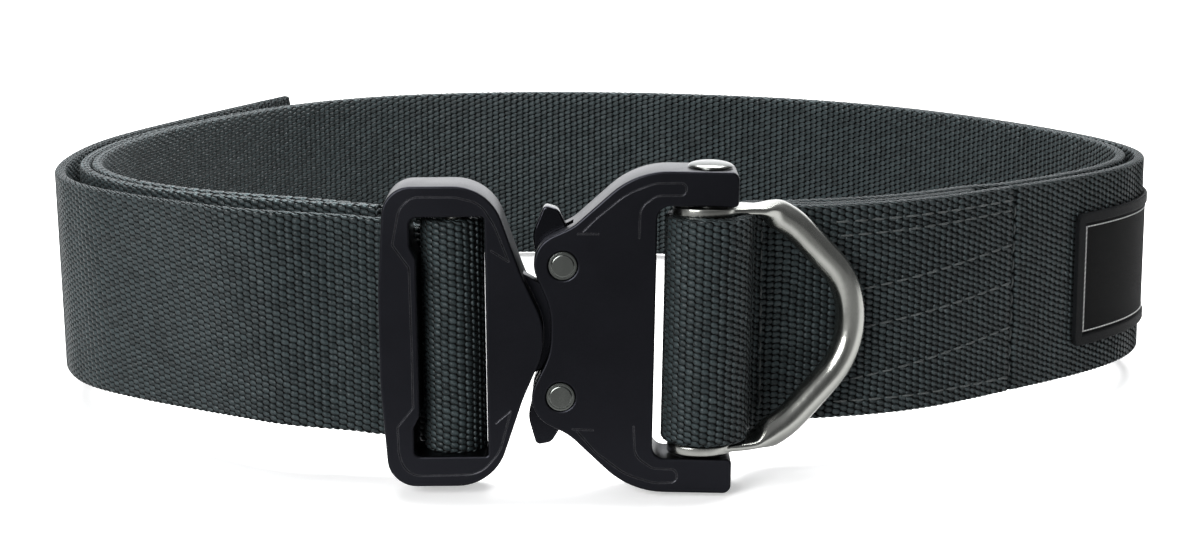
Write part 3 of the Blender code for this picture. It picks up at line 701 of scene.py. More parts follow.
# Label patch. A thin woven patch sewn round the right bend, with a raised satin edge and one pale
# sewn line just inside it. Its field is bare.
LABEL_START_X = 102.3
LABEL_LENGTH = 60.0
LABEL_HEIGHT = 29.5
LABEL_BOTTOM = 6.8
LABEL_THICK = 1.0
LABEL_FIELD_THICK = 0.6
LABEL_CORNER = 1.5
LABEL_ROUND = 0.4
LABEL_STEP = 0.3
LABEL_FACE_ROWS = 10
LABEL_EDGE = 2.4
LABEL_EDGE_LAP = 0.3
LABEL_SIDE_THICK = 1.04
LABEL_CLOTH = (0.003, 0.0033, 0.0036)
LABEL_EDGE_CLOTH = (0.010, 0.011, 0.012)
CLOTH_SHADES = (0.4, 1.8)
CLOTH_SHINE = 0.05
CLOTH_BUMP = 0.00015
CLOTH_FIBRE_SCALE = 3000.0
SHADE_BY_THREAD = (0.6, 0.4)
CLOTH_ROUGHNESS_BY_FIBRE = 0.3
PALE_THREAD = (0.62, 0.63, 0.62)
PALE_THREAD_SHADE = (0.10, 0.105, 0.105)
PALE_LINE_IN = 2.9
PALE_LINE_WIDTH = 0.45
PALE_LINE_THICK = LABEL_FIELD_THICK + 0.1
PALE_STITCH = 1.1
PALE_FULLNESS = 0.6
PALE_FIBRE_SCALE = 2200.0
PALE_FIBRE_BASE = 0.4
PALE_ROUGHNESS = 0.6


def make_label_cloth(name, colour, pitch, gloss):
    """Satin threads that lie across the edge, from the place on the patch."""
    material, tree, shader = new_material(name)
    along, across = tape_place(tree)[1][:2]
    warp, weft = (calc(tree, "SINE", calc(tree, "MULTIPLY", place, 2 * math.pi / pitch))
                  for place in (along, across))
    threads = calc(tree, "ABSOLUTE", calc(tree, "MULTIPLY", warp, weft))
    fibre = add_noise(tree, CLOTH_FIBRE_SCALE)
    share = calc(tree, "MULTIPLY", calc(tree, "MULTIPLY_ADD", threads, *SHADE_BY_THREAD), fibre)
    dark, light = (tuple(part * shade for part in colour) for shade in CLOTH_SHADES)
    tree.links.new(mix_colours(tree, share, dark, light), shader.inputs["Base Color"])
    tree.links.new(calc(tree, "MULTIPLY_ADD", fibre, CLOTH_ROUGHNESS_BY_FIBRE, gloss),
                   shader.inputs["Roughness"])
    shader.inputs["Specular IOR Level"].default_value = CLOTH_SHINE
    add_bump(tree, shader, threads, CLOTH_BUMP)
    return material


def make_pale_thread():
    """Pale thread in short stitches that darken where they dip."""
    material, tree, shader = new_material("pale_thread")
    along, across = tape_place(tree)[1][:2]
    turn = calc(tree, "MULTIPLY", calc(tree, "ADD", along, across), math.pi / PALE_STITCH)
    stitch = calc(tree, "POWER", calc(tree, "ABSOLUTE", calc(tree, "SINE", turn)), PALE_FULLNESS)
    fibre = calc(tree, "ADD", add_noise(tree, PALE_FIBRE_SCALE), PALE_FIBRE_BASE)
    shade = calc(tree, "MULTIPLY", stitch, fibre)
    tree.links.new(mix_colours(tree, shade, PALE_THREAD_SHADE, PALE_THREAD),
                   shader.inputs["Base Color"])
    shader.inputs["Roughness"].default_value = PALE_ROUGHNESS
    return material


on_right = (outer_rows[:, 0] > FOLD_BACK_END_X) & (outer_rows[:, 1] < RIGHT_BEND[1])
label_start = np.interp(LABEL_START_X, outer_rows[on_right][::-1, 0], outer_along[on_right][::-1])
label_end = label_start - LABEL_LENGTH


def label_strip(name, low_u, high_u, bottom, height, thick):
    """Thin strip on the outer leg's face between two lengths along it, within the corners."""
    spots = np.linspace(low_u, high_u, max(2, int((high_u - low_u) / LABEL_STEP)))
    to_side = np.minimum(spots - label_end, label_start - spots)
    into_corner = np.clip(LABEL_CORNER - to_side, 0.0, None)
    lost = LABEL_CORNER - np.sqrt(np.clip(LABEL_CORNER ** 2 - into_corner ** 2, 0.0, None))
    low = np.maximum(bottom, LABEL_BOTTOM + lost)
    high = np.minimum(bottom + height, LABEL_BOTTOM + LABEL_HEIGHT - lost)
    x, y, out_x, out_y = (np.interp(spots, outer_along, column)
                          for column in (*outer_rows.T[:2], *outer_left.T))
    off = TAPE_THICK / 2 + thick / 2
    line = np.column_stack((x + out_x * off, y + out_y * off))
    return strip_mesh(name, tape_rows(line, low, high - low), thick=thick,
                      edge_round=min(LABEL_ROUND, thick / 2), face_rows=LABEL_FACE_ROWS,
                      rib=0.0, ridge=0.0)


def label_border(name, inset, width, thick, side_thick, lap):
    """Frame of four strips on the label; the two upright ones stop short of its ends by a lap."""
    low, high = label_end + inset, label_start - inset
    bottom, top = LABEL_BOTTOM + inset, LABEL_BOTTOM + LABEL_HEIGHT - inset
    bm = bmesh.new()
    for strip in ((low, high, bottom, width, thick),
                  (low, high, top - width, width, thick),
                  (high - width, high, bottom + lap, top - bottom - 2 * lap, side_thick),
                  (low, low + width, bottom + lap, top - bottom - 2 * lap, side_thick)):
        bm.from_mesh(label_strip("strip", *strip))
    mesh = bpy.data.meshes.new(name)
    bm.to_mesh(mesh)
    bm.free()
    return mesh


label = new_piece("label", label_strip("label", label_end, label_start, LABEL_BOTTOM, LABEL_HEIGHT,
                                       LABEL_FIELD_THICK),
                  make_label_cloth("label_field", LABEL_CLOTH, pitch=0.45, gloss=0.45), "belt",
                  ["label_patch"])
edge = label_border("label_edge", 0.0, LABEL_EDGE, LABEL_THICK, LABEL_THICK * LABEL_SIDE_THICK,
                    LABEL_EDGE_LAP)
satin = make_label_cloth("label_edge", LABEL_EDGE_CLOTH, pitch=0.5, gloss=0.35)
new_piece("label_edge", edge, satin, "belt")
line = label_border("label_line", PALE_LINE_IN, PALE_LINE_WIDTH, PALE_LINE_THICK, PALE_LINE_THICK,
                    0.0)
new_piece("label_line", line, make_pale_thread(), "belt")

# Adjuster frame. Black anodised aluminium plate, 12 mm thick, with rounded edges, an engraved line
# round its face, the slot for the webbing and the tongue that enters the latch.
BUCKLE_THICK = 12.0
EDGE_BEVEL = 0.4
BEVEL_STEPS = 4
ARC_STEP_DEG = 6.0
ROUND_SIDES = 64
GROOVE_RADIUS = 0.17
GROOVE_SIDES = 6
SAME_POINT = 1e-5
SLIVER = 1e-4
SHARPEST_SPREAD = 0.5
BLACK = (0.0162, 0.0167, 0.0205)
BARE_EDGE_AND_HIGHLIGHT = (0.30, 0.30, 0.32)
GROOVE_INSET = 0.04
CREASE_DEG = 32.0
FACE_LEVEL = 0.99995
WEAR_AND_HIGHLIGHT_WIDTH = 0.00025
WEAR_AND_HIGHLIGHT_SCALE = 900.0
WEAR_AND_HIGHLIGHT_DETAIL = 3.0
WEAR_AND_HIGHLIGHT_CONTRAST = 6.0
WEAR_AND_HIGHLIGHT_SAMPLES = 6
GRAIN_SCALE = 5000.0
GRAIN_BUMP = 0.00002
METAL_CLOUD_SCALE = 90.0
METAL_CLOUD_DETAIL = 3.0
ROUGHNESS_BY_GRAIN = 0.05
ROUGHNESS_BY_CLOUD = 0.12
ADJUSTER_OUTLINE = (
    # x, z, radius
    (-11.1, 3.2, 12.0),
    (-15.2, 12.4, 20.0),
    (-21.2, 30.0, 10.0),
    (-41.8, 30.0, 5.8),
    (-43.2, 9.0, 40.0),
)
ADJUSTER_SLOT = (
    (-22.25, 23.9, 0.6),
    (-36.8, 23.9, 1.4),
    (-36.8, 18.2, 1.0),
    (-35.6, 15.8, 1.0),
)
TONGUE_OUTLINE = (
    (6.5, 7.0, 1.0),
    (3.4, 10.8, 0.8),
    (1.4, 10.8, 0.4),
    (1.4, 9.0, 0.3),
    (-1.2, 9.0, 1.0),
    (-3.0, 7.0, 1.5),
    (-9.0, 7.2, 3.0),
    (-16.0, 11.0, 0.3),
)
TONGUE_THICK = 3.8
TONGUE_BEVEL = 0.25
BAR_HALF_LENGTH = 25.8
BAR_SEAT_DEPTH = 0.4
ADJUSTER_GROOVES = (
    # strokes of x, z, radius on the belt
    ((-21.2, 38.9, 0.0), (-17.7, 36.7, 0.0)),
    ((-17.7, 36.7, 0.0), (-20.5, 43.9, 9.0), (-23.2, 48.2, 5.0), (-28.2, 49.4, 5.0),
     (-36.8, 49.4, 4.0), (-39.0, 46.8, 4.0), (-40.3, 40.0, 1.0), (-37.1, 35.5, 1.0),
     (-36.8, 20.5, 0.0), (-36.7, 7.4, 1.0), (-39.8, 3.6, 1.0), (-39.6, -2.0, 6.0),
     (-38.0, -6.4, 4.0), (-23.6, -6.0, 6.0), (-19.7, -1.5, 8.0), (-17.5, 6.9, 0.0)),
    ((-17.5, 6.9, 0.0), (-20.5, 4.3, 0.0)),
)


def rounded(corners, closed=True):
    """Round each corner of a line by its radius; an open line keeps its two ends."""
    line = []
    count = len(corners)
    for index, (x, z, radius) in enumerate(corners):
        here = Vector((x, z))
        if radius == 0.0 or (not closed and index in (0, count - 1)):
            line.append((x, z))
            continue
        before = (Vector(corners[index - 1][:2]) - here).normalized()
        after = (Vector(corners[(index + 1) % count][:2]) - here).normalized()
        half_angle = before.angle(after) / 2
        middle = here + (before + after).normalized() * radius / math.sin(half_angle)
        start = here + before * radius / math.tan(half_angle) - middle
        end = here + after * radius / math.tan(half_angle) - middle
        first = math.atan2(start.y, start.x)
        sweep = (math.atan2(end.y, end.x) - first + math.pi) % (2 * math.pi) - math.pi
        steps = max(1, math.ceil(abs(math.degrees(sweep)) / ARC_STEP_DEG))
        for step in range(steps + 1):
            angle = first + sweep * step / steps
            line.append((middle.x + radius * math.cos(angle), middle.y + radius * math.sin(angle)))
    return line


def both_halves(upper_half):
    """Close an outline whose lower half mirrors its upper half."""
    lower_half = [(x, -z, radius) for x, z, radius in reversed(upper_half)]
    return rounded(list(upper_half) + lower_half)


def circle(x, z, radius, sides=ROUND_SIDES):
    turns = [2 * math.pi * side / sides for side in range(sides)]
    return [(x + radius * math.cos(turn), z + radius * math.sin(turn)) for turn in turns]


def area(loop):
    """Area inside a loop, which is negative for one that runs clockwise."""
    following = loop[1:] + loop[:1]
    return sum(x0 * z1 - x1 * z0 for (x0, z0), (x1, z1) in zip(loop, following)) / 2


def moved_in(loop, distance):
    """Move a loop to its left by a distance, which is into the metal on outlines and holes."""
    moved = []
    count = len(loop)
    for index, point in enumerate(loop):
        here = Vector(point)
        along = (here - Vector(loop[index - 1])).normalized()
        onward = (Vector(loop[(index + 1) % count]) - here).normalized()
        normal = (Vector((-along.y, along.x)) + Vector((-onward.y, onward.x))).normalized()
        spread = max(SHARPEST_SPREAD, normal.dot(Vector((-along.y, along.x))))
        moved.append(tuple(here + normal * distance / spread))
    return moved


def plate(outline, holes, thickness, bevel):
    """Plate across the y axis whose outer edges and holes are rounded over."""
    outline = outline if area(outline) > 0 else outline[::-1]
    holes = [hole if area(hole) < 0 else hole[::-1] for hole in holes]
    half = thickness / 2
    turns = [math.pi / 2 * step / BEVEL_STEPS for step in range(BEVEL_STEPS, -1, -1)]
    front = [(-half, 0.0)]
    if bevel:
        front = [(-half + bevel * (1 - math.sin(turn)), bevel * (1 - math.cos(turn)))
                 for turn in turns]
    levels = front + [(-y, inset) for y, inset in reversed(front)]
    bm = bmesh.new()
    rims = {0: [], len(levels) - 1: []}
    for loop in [outline] + holes:
        rings = []
        for level, (y, inset) in enumerate(levels):
            ring = [bm.verts.new((x, y, z)) for x, z in moved_in(loop, inset)]
            rings.append(ring)
            if level in rims:
                rims[level] += [bm.edges.new((ring[k - 1], ring[k])) for k in range(len(ring))]
        skin(bm, rings, capped=False)
    for edges in rims.values():
        bmesh.ops.triangle_fill(bm, edges=edges, use_beauty=True)
    return bm


def turned(profile, sides=ROUND_SIDES):
    """Round piece on the z axis from a profile of radius and height, closed at both ends."""
    bm = bmesh.new()
    skin(bm, [[bm.verts.new((x, y, z)) for x, y in circle(0.0, 0.0, radius, sides)]
              for radius, z in profile])
    return bm


def raw_object(bm, place=Matrix.Identity(4)):
    """Object in drawing millimetres, to be cut or joined before it is finished."""
    bmesh.ops.remove_doubles(bm, verts=bm.verts, dist=SAME_POINT)
    bmesh.ops.recalc_face_normals(bm, faces=bm.faces)
    bmesh.ops.transform(bm, matrix=place, verts=bm.verts)
    mesh = bpy.data.meshes.new("raw")
    bm.to_mesh(mesh)
    bm.free()
    item = bpy.data.objects.new("raw", mesh)
    bpy.context.scene.collection.objects.link(item)
    return item


def carve(item, tool_bm, operation="DIFFERENCE", place=Matrix.Identity(4)):
    """Cut a tool from an item, or join it on, and remove the tool."""
    tool = raw_object(tool_bm, place)
    modifier = item.modifiers.new("carve", "BOOLEAN")
    modifier.operation = operation
    modifier.solver = "EXACT"
    modifier.object = tool
    graph = bpy.context.evaluated_depsgraph_get()
    item.data = bpy.data.meshes.new_from_object(item.evaluated_get(graph))
    item.modifiers.clear()
    bpy.data.objects.remove(tool, do_unlink=True)


def finished(name, item, place):
    """Take the mesh of a drawn object into the world, smooth but for its real corners."""
    mesh = item.data
    bpy.data.objects.remove(item, do_unlink=True)
    mesh.name = name
    bm = bmesh.new()
    bm.from_mesh(mesh)
    bmesh.ops.dissolve_degenerate(bm, edges=bm.edges, dist=SLIVER)
    bm.normal_update()
    for face in bm.faces:
        face.smooth = True
    for edge in bm.edges:
        if len(edge.link_faces) != 2:
            continue
        flat = [abs(face.normal.y) > FACE_LEVEL for face in edge.link_faces]
        soft = edge.calc_face_angle(0.0) < math.radians(CREASE_DEG)
        edge.smooth = soft and flat[0] == flat[1]
    bmesh.ops.transform(bm, matrix=place, verts=bm.verts)
    bm.to_mesh(mesh)
    bm.free()
    return mesh


def groove_tool(stroke, y, place):
    """Rod along a stroke on the buckle's face, half sunk, that engraves it."""
    line = rounded(stroke, closed=False)
    bm = bmesh.new()
    rings = []
    for index, point in enumerate(line):
        before = Vector(line[max(0, index - 1)])
        after = Vector(line[min(len(line) - 1, index + 1)])
        along = (after - before).normalized()
        across = Vector((-along.y, along.x))
        ring = []
        for side in range(GROOVE_SIDES):
            turn = 2 * math.pi * (side + 0.5) / GROOVE_SIDES
            spot = Vector(point) + across * GROOVE_RADIUS * math.cos(turn)
            ring.append(bm.verts.new((spot.x, y + GROOVE_RADIUS * math.sin(turn), spot.y)))
        rings.append(ring)
    skin(bm, rings)
    bmesh.ops.transform(bm, matrix=place, verts=bm.verts)
    return bm


def make_edge_wear_and_highlight():
    """Mask of the patchy pale edges, for every black metal: rubbed bare in part, and in part a
    painted highlight.
    """
    tree, given, wanted = new_group("edge_wear_and_highlight", {"Width": WEAR_AND_HIGHLIGHT_WIDTH, "Amount": 1.0}, ("Mask",))
    bevel = tree.nodes.new("ShaderNodeBevel")
    bevel.samples = WEAR_AND_HIGHLIGHT_SAMPLES
    tree.links.new(given["Width"], bevel.inputs["Radius"])
    place = tree.nodes.new("ShaderNodeNewGeometry")
    dot = tree.nodes.new("ShaderNodeVectorMath")
    dot.operation = "DOT_PRODUCT"
    tree.links.new(bevel.outputs[0], dot.inputs[0])
    tree.links.new(place.outputs["Normal"], dot.inputs[1])
    edge = calc(tree, "SUBTRACT", 1.0, dot.outputs["Value"])
    patches = calc(tree, "MULTIPLY", add_noise(tree, WEAR_AND_HIGHLIGHT_SCALE, WEAR_AND_HIGHLIGHT_DETAIL), WEAR_AND_HIGHLIGHT_CONTRAST)
    patchy = calc(tree, "MINIMUM", calc(tree, "MULTIPLY", edge, patches), 1.0)
    tree.links.new(calc(tree, "MULTIPLY", patchy, given["Amount"]), wanted["Mask"])
    return tree


edge_wear_and_highlight = make_edge_wear_and_highlight()


def make_black_metal(name, matt, wear_and_highlight):
    material, tree, shader = new_material(name)
    wear_and_highlight_group = tree.nodes.new("ShaderNodeGroup")
    wear_and_highlight_group.node_tree = edge_wear_and_highlight
    wear_and_highlight_group.inputs["Amount"].default_value = wear_and_highlight
    grain = add_noise(tree, GRAIN_SCALE)
    cloud = add_noise(tree, METAL_CLOUD_SCALE, METAL_CLOUD_DETAIL)
    # The edges turn pale bare metal: rubbed in part, and in part a painted highlight where edges
    # catch the light.
    tree.links.new(mix_colours(tree, wear_and_highlight_group.outputs["Mask"], BLACK, BARE_EDGE_AND_HIGHLIGHT),
                   shader.inputs["Base Color"])
    shader.inputs["Metallic"].default_value = 1.0
    roughness = calc(tree, "MULTIPLY_ADD", cloud, ROUGHNESS_BY_CLOUD, matt)
    tree.links.new(calc(tree, "MULTIPLY_ADD", grain, ROUGHNESS_BY_GRAIN, roughness),
                   shader.inputs["Roughness"])
    add_bump(tree, shader, grain, GRAIN_BUMP)
    return material


black_metal = make_black_metal("black_anodised", matt=0.26, wear_and_highlight=0.55)
FRONT_Y = -BUCKLE_THICK / 2
GROOVE_Y = FRONT_Y - GROOVE_INSET
to_pin = Matrix.Translation((-PIN_X, 0.0, 0.0))
to_bar = Matrix.Translation((-BAR_X, 0.0, 0.0))
frame_plate = raw_object(plate(both_halves(ADJUSTER_OUTLINE), [both_halves(ADJUSTER_SLOT)],
                               BUCKLE_THICK, EDGE_BEVEL), to_bar)
seat_radius = BAR_RADIUS + GAP
seat_half = BAR_HALF_LENGTH + BAR_SEAT_DEPTH
carve(frame_plate, turned([(seat_radius, -seat_half), (seat_radius, seat_half)]),
      place=Matrix.Translation((0.0, BAR_Y - BUCKLE_MID_Y, 0.0)))
carve(frame_plate, plate(both_halves(TONGUE_OUTLINE), [], TONGUE_THICK, TONGUE_BEVEL), "UNION",
      adjuster.inverted() @ latch @ to_pin)
on_belt = Matrix.Translation((0.0, BUCKLE_MID_Y, 0.0))
for stroke in ADJUSTER_GROOVES:
    carve(frame_plate, groove_tool(stroke, GROOVE_Y, adjuster.inverted() @ belt @ on_belt))
new_piece("adjuster", finished("adjuster", frame_plate, adjuster), black_metal, "belt",
          ["adjuster_frame"])

# Adjuster bar. A plain steel rod inside the roll of webbing, cut from bar with both ends broken by
# a small chamfer, and seated in shallow holes in the frame.
BAR_CHAMFER = 0.3
STEEL = (0.40, 0.405, 0.38)
STEEL_SHADE = 0.9
SCRATCH_SCALE = 700.0
SCRATCH_DETAIL = 4.0
SCRATCH_STRETCH = (1.0, 1.0, 0.12)
SCRATCH_BUMP = 0.00003
ROUGHNESS_BY_SCRATCH = (0.16, 0.14)
STEEL_CLOUD_SCALE = 120.0


def make_steel(name, colour):
    material, tree, shader = new_material(name)
    scratches = add_noise(tree, SCRATCH_SCALE, SCRATCH_DETAIL, SCRATCH_STRETCH)
    cloud = add_noise(tree, STEEL_CLOUD_SCALE)
    shaded = tuple(part * STEEL_SHADE for part in colour)
    tree.links.new(mix_colours(tree, cloud, shaded, colour), shader.inputs["Base Color"])
    shader.inputs["Metallic"].default_value = 1.0
    tree.links.new(calc(tree, "MULTIPLY_ADD", scratches, *ROUGHNESS_BY_SCRATCH),
                   shader.inputs["Roughness"])
    add_bump(tree, shader, scratches, SCRATCH_BUMP)
    return material


steel = make_steel("polished_steel", STEEL)
bar_end = [(BAR_RADIUS, BAR_HALF_LENGTH - BAR_CHAMFER), (BAR_RADIUS - BAR_CHAMFER, BAR_HALF_LENGTH)]
bar_profile = [(radius, -z) for radius, z in reversed(bar_end)] + bar_end
bar = raw_object(turned(bar_profile), Matrix.Translation((0.0, BAR_Y - BUCKLE_MID_Y, 0.0)))
new_piece("bar", finished("bar", bar, adjuster), steel, "belt", ["adjuster_bar"])

# Latch body. Two black anodised walls joined at the ring's side, with the two arms that hold the
# ring pin. The release slot between the walls is open to the left for the tongue and the levers.
LATCH_HALF_HEIGHT = 32.1
LATCH_OUTLINE = (
    # x, z, radius
    (10.7, 25.2, 2.6),
    (26.4, 25.2, 0.9),
    (26.4, LATCH_HALF_HEIGHT, 1.6),
    (6.5, LATCH_HALF_HEIGHT, 17.0),
    (-5.7, 20.8, 9.0),
    (-15.2, 16.3, 6.2),
    (-9.6, 4.4, 14.0),
)
RELEASE_SLOT = (
    (7.2, 11.8, 1.5),
    (2.9, 11.8, 0.3),
    (2.9, 17.8, 1.5),
    (-5.6, 17.8, 0.3),
    (-5.6, 34.0, 0.3),
    (-22.0, 34.0, 0.3),
)
SLOT_WALL_GAP = 2.2
LEVER_X = -7.5
LEVER_Z = 13.1
RIVET_RADIUS = 2.8
RIVET_FIT = 0.04
PIN_RADIUS = 3.4
PIN_BORE_HALF = 40.0
LATCH_GROOVES = (
    # strokes of x, z, radius on the belt
    ((-4.4, 42.2, 0.0), (-0.2, 42.2, 0.0)),
    ((-3.3, 42.6, 0.0), (-0.5, 45.4, 6.0), (5.2, 50.0, 12.0), (10.5, 52.1, 6.0),
     (16.8, 52.2, 1.1), (16.6, 49.7, 1.1), (11.0, 49.7, 3.0), (7.8, 47.4, 3.5),
     (7.6, 41.3, 0.0)),
    ((-5.5, 3.2, 0.0), (-1.3, 3.0, 0.0)),
    ((-4.6, 2.9, 0.0), (-1.0, -1.4, 6.0), (5.0, -6.0, 12.0), (10.8, -7.8, 6.0),
     (15.3, -7.6, 1.2), (15.0, -5.0, 1.2), (10.4, -4.8, 3.0), (6.9, -2.4, 3.5),
     (6.6, 3.8, 0.0)),
)
lever_holes = [circle(LEVER_X, side * LEVER_Z, RIVET_RADIUS + RIVET_FIT) for side in (1, -1)]
body = raw_object(plate(both_halves(LATCH_OUTLINE), lever_holes, BUCKLE_THICK, EDGE_BEVEL), to_pin)
carve(body, plate(both_halves(RELEASE_SLOT), [], 2 * SLOT_WALL_GAP, 0.0), place=to_pin)
carve(body, turned([(PIN_RADIUS + GAP, -PIN_BORE_HALF), (PIN_RADIUS + GAP, PIN_BORE_HALF)]))
for stroke in LATCH_GROOVES:
    carve(body, groove_tool(stroke, GROOVE_Y, latch.inverted() @ belt @ on_belt))
new_piece("latch", finished("latch", body, latch), black_metal, "belt",
          ["latch_body"])

# Levers. Two sprung black levers between the walls, one above and one below, each turning on its
# rivet; their horns stand out at the left to be pressed together. The lower one sits more open.
LEVER_OUTLINE = (
    # x, z, radius from the rivet
    (8.2, -3.5, 0.3),
    (8.6, 0.9, 1.6),
    (4.3, 3.9, 2.5),
    (1.6, 4.4, 1.0),
    (0.9, 6.6, 1.5),
    (-1.0, 10.4, 2.0),
    (-3.9, 11.2, 1.0),
    (-6.1, 5.4, 6.0),
    (-4.8, -2.2, 3.0),
    (-2.4, -4.9, 3.0),
    (2.2, -4.9, 3.0),
    (4.6, -2.3, 0.4),
    (5.5, -2.2, 0.4),
    (5.9, -3.5, 0.3),
)
LEVER_BEVEL = 0.4
LOWER_LEVER_TURN = 4.0
polished_black = make_black_metal("polished_black", matt=0.04, wear_and_highlight=0.9)
for name, side, turn in (("upper", 1, 0.0), ("lower", -1, LOWER_LEVER_TURN)):
    outline = [(x, side * z) for x, z in rounded(LEVER_OUTLINE)]
    hole = circle(0.0, 0.0, RIVET_RADIUS + GAP)
    place = (Matrix.Translation((LEVER_X - PIN_X, 0.0, side * LEVER_Z))
             @ Matrix.Rotation(math.radians(-side * turn), 4, "Y"))
    lever = raw_object(plate(outline, [hole], TONGUE_THICK, LEVER_BEVEL), place)
    new_piece("release_lever_" + name, finished("release_lever_" + name, lever, latch),
              polished_black, name + "_lever", ["lever_" + name])

# Rivets. Steel pins that the levers turn on, each end pressed flat into a low rim that carries a
# raised flat middle, at the front and at the back.
RIVET_END = (
    # radius, height over the buckle's face
    (2.8, -0.45),
    (2.8, -0.02),
    (2.72, 0.08),
    (2.5, 0.12),
    (2.32, 0.10),
    (2.2, 0.18),
    (2.14, 0.30),
    (2.02, 0.35),
    (0.01, 0.36),
)
RIVET_STEEL = (0.16, 0.17, 0.16)
rivet_steel = make_steel("rivet_steel", RIVET_STEEL)
rivet_end = [(radius, BUCKLE_THICK / 2 + height) for radius, height in RIVET_END]
for name, side in (("upper", 1), ("lower", -1)):
    profile = [(radius, -z) for radius, z in reversed(rivet_end)] + rivet_end
    place = (Matrix.Translation((LEVER_X - PIN_X, 0.0, side * LEVER_Z))
             @ Matrix.Rotation(math.radians(90.0), 4, "X"))
    rivet = raw_object(turned(profile), place)
    new_piece("pivot_" + name, finished("pivot_" + name, rivet, latch), rivet_steel, "belt",
              ["rivet_" + name])

# Ring pin. One steel pin through both arms, with a low domed head on top and a shoulder that
# fills the loop of webbing.
PIN_SHOULDER_RADIUS = 5.9
PIN_SHOULDER_HALF = 21.0
PIN_HALF_LENGTH = 31.6
PIN_HEAD_RADIUS = 4.5
PIN_HEAD_HEIGHT = 1.1
PIN_HEAD_STEPS = 12
PIN_HEAD_END_DEG = 88.0
PIN_CHAMFER = 0.4
PIN_STEEL = (0.17, 0.175, 0.168)
head_base = LATCH_HALF_HEIGHT + GAP
profile = [(PIN_RADIUS - PIN_CHAMFER, -PIN_HALF_LENGTH), (PIN_RADIUS, PIN_CHAMFER - PIN_HALF_LENGTH),
           (PIN_RADIUS, -PIN_SHOULDER_HALF), (PIN_SHOULDER_RADIUS, -PIN_SHOULDER_HALF),
           (PIN_SHOULDER_RADIUS, PIN_SHOULDER_HALF), (PIN_RADIUS, PIN_SHOULDER_HALF),
           (PIN_RADIUS, head_base)]
for step in range(PIN_HEAD_STEPS + 1):
    rise = math.radians(PIN_HEAD_END_DEG * step / PIN_HEAD_STEPS)
    profile.append((PIN_HEAD_RADIUS * math.cos(rise), head_base + PIN_HEAD_HEIGHT * math.sin(rise)))
pin = raw_object(turned(profile))
new_piece("pivot_pin", finished("pivot_pin", pin, latch), make_steel("pin_steel", PIN_STEEL),
          "belt", ["ring_pin"])

# Ring. A polished steel rod bent to a D; its two ends are hammered flat into long eyes that turn on
# the ring pin just above and below the webbing.
RING_LEAN = 21.0
RING_ROD_RADIUS = 3.0
RING_EYE_RADIUS = 5.8
RING_EYE_BACK = 7.5
RING_EYE_HALF_THICK = 0.95
RING_EYE_Z = 23.8
RING_EYE_BEVEL = 0.35
RING_BORE_THICK = 4 * RING_EYE_HALF_THICK
RING_NARROW_START = 3.0
RING_FLAT_END = 9.5
RING_ROUND_START = 15.0
RING_FLAT_HALF_THICK = 0.92
RING_FLAT_HALF_WIDTH = 4.65
RING_FLAT_EDGE_POWER = 0.5
RING_EYE_TAPER = 0.25
RING_ROD_SIDES = 40
RING_STEP = 0.6
RING_LINE = (
    # out, z, radius
    (1.0, RING_EYE_Z, 0.0),
    (7.0, RING_EYE_Z, 0.0),
    (14.6, RING_EYE_Z, 18.0),
    (31.6, 7.2, 16.5),
)


def eased(flat, round_size, start, out):
    """Size that changes smoothly from the ring's flat end to its round rod."""
    share = min(1.0, max(0.0, (out - start) / (RING_ROUND_START - start)))
    return flat + smooth(share) * (round_size - flat)


ring_corners = RING_LINE + tuple((out, -z, radius) for out, z, radius in reversed(RING_LINE))
ring_line = np.array(rounded(ring_corners, closed=False))
ring_lengths = lengths_along(ring_line)
spots = np.linspace(0.0, ring_lengths[-1], int(ring_lengths[-1] / RING_STEP))
ring_line = np.column_stack([np.interp(spots, ring_lengths, ring_line[:, k]) for k in (0, 1)])
rod = bmesh.new()
sections = []
for (out, z), (across, up) in zip(ring_line, left_of(ring_line)):
    thick = eased(RING_FLAT_HALF_THICK, RING_ROD_RADIUS, RING_FLAT_END, out)
    front = eased(RING_FLAT_HALF_WIDTH, RING_ROD_RADIUS, RING_FLAT_END, out)
    back = eased(RING_FLAT_HALF_WIDTH, RING_ROD_RADIUS, RING_NARROW_START, out)
    edge_power = eased(RING_FLAT_EDGE_POWER, 1.0, RING_FLAT_END, out)
    section = []
    for a, b in circle(0.0, 0.0, 1.0, RING_ROD_SIDES):
        wide, power = (back, 1.0) if b > 0 else (front, edge_power)
        wide = max(wide, RING_EYE_RADIUS - RING_EYE_TAPER * out)
        rise = thick * math.copysign(abs(a) ** power, a)
        y = wide * math.copysign(abs(b) ** power, b)
        section.append(rod.verts.new((out + across * rise, y, z + up * rise)))
    sections.append(section)
skin(rod, sections)
ring = raw_object(rod)
eye_hole = circle(0.0, 0.0, PIN_RADIUS + 2 * GAP)
eye_outline = [(out * RING_EYE_BACK / RING_EYE_RADIUS if out < 0 else out, y)
               for out, y in circle(0.0, 0.0, RING_EYE_RADIUS)]
for side in (1, -1):
    eye_place = (Matrix.Translation((0.0, 0.0, side * RING_EYE_Z))
                 @ Matrix.Rotation(math.radians(90.0), 4, "X"))
    carve(ring, plate(eye_outline, [], 2 * RING_EYE_HALF_THICK, RING_EYE_BEVEL), "UNION", eye_place)
    carve(ring, plate(eye_hole, [], RING_BORE_THICK, 0.0), place=eye_place)
ring_place = latch @ Matrix.Rotation(math.radians(RING_LEAN), 4, "Z")
new_piece("swing_ring", finished("swing_ring", ring, ring_place), steel, "ring",
          ["d_ring"])

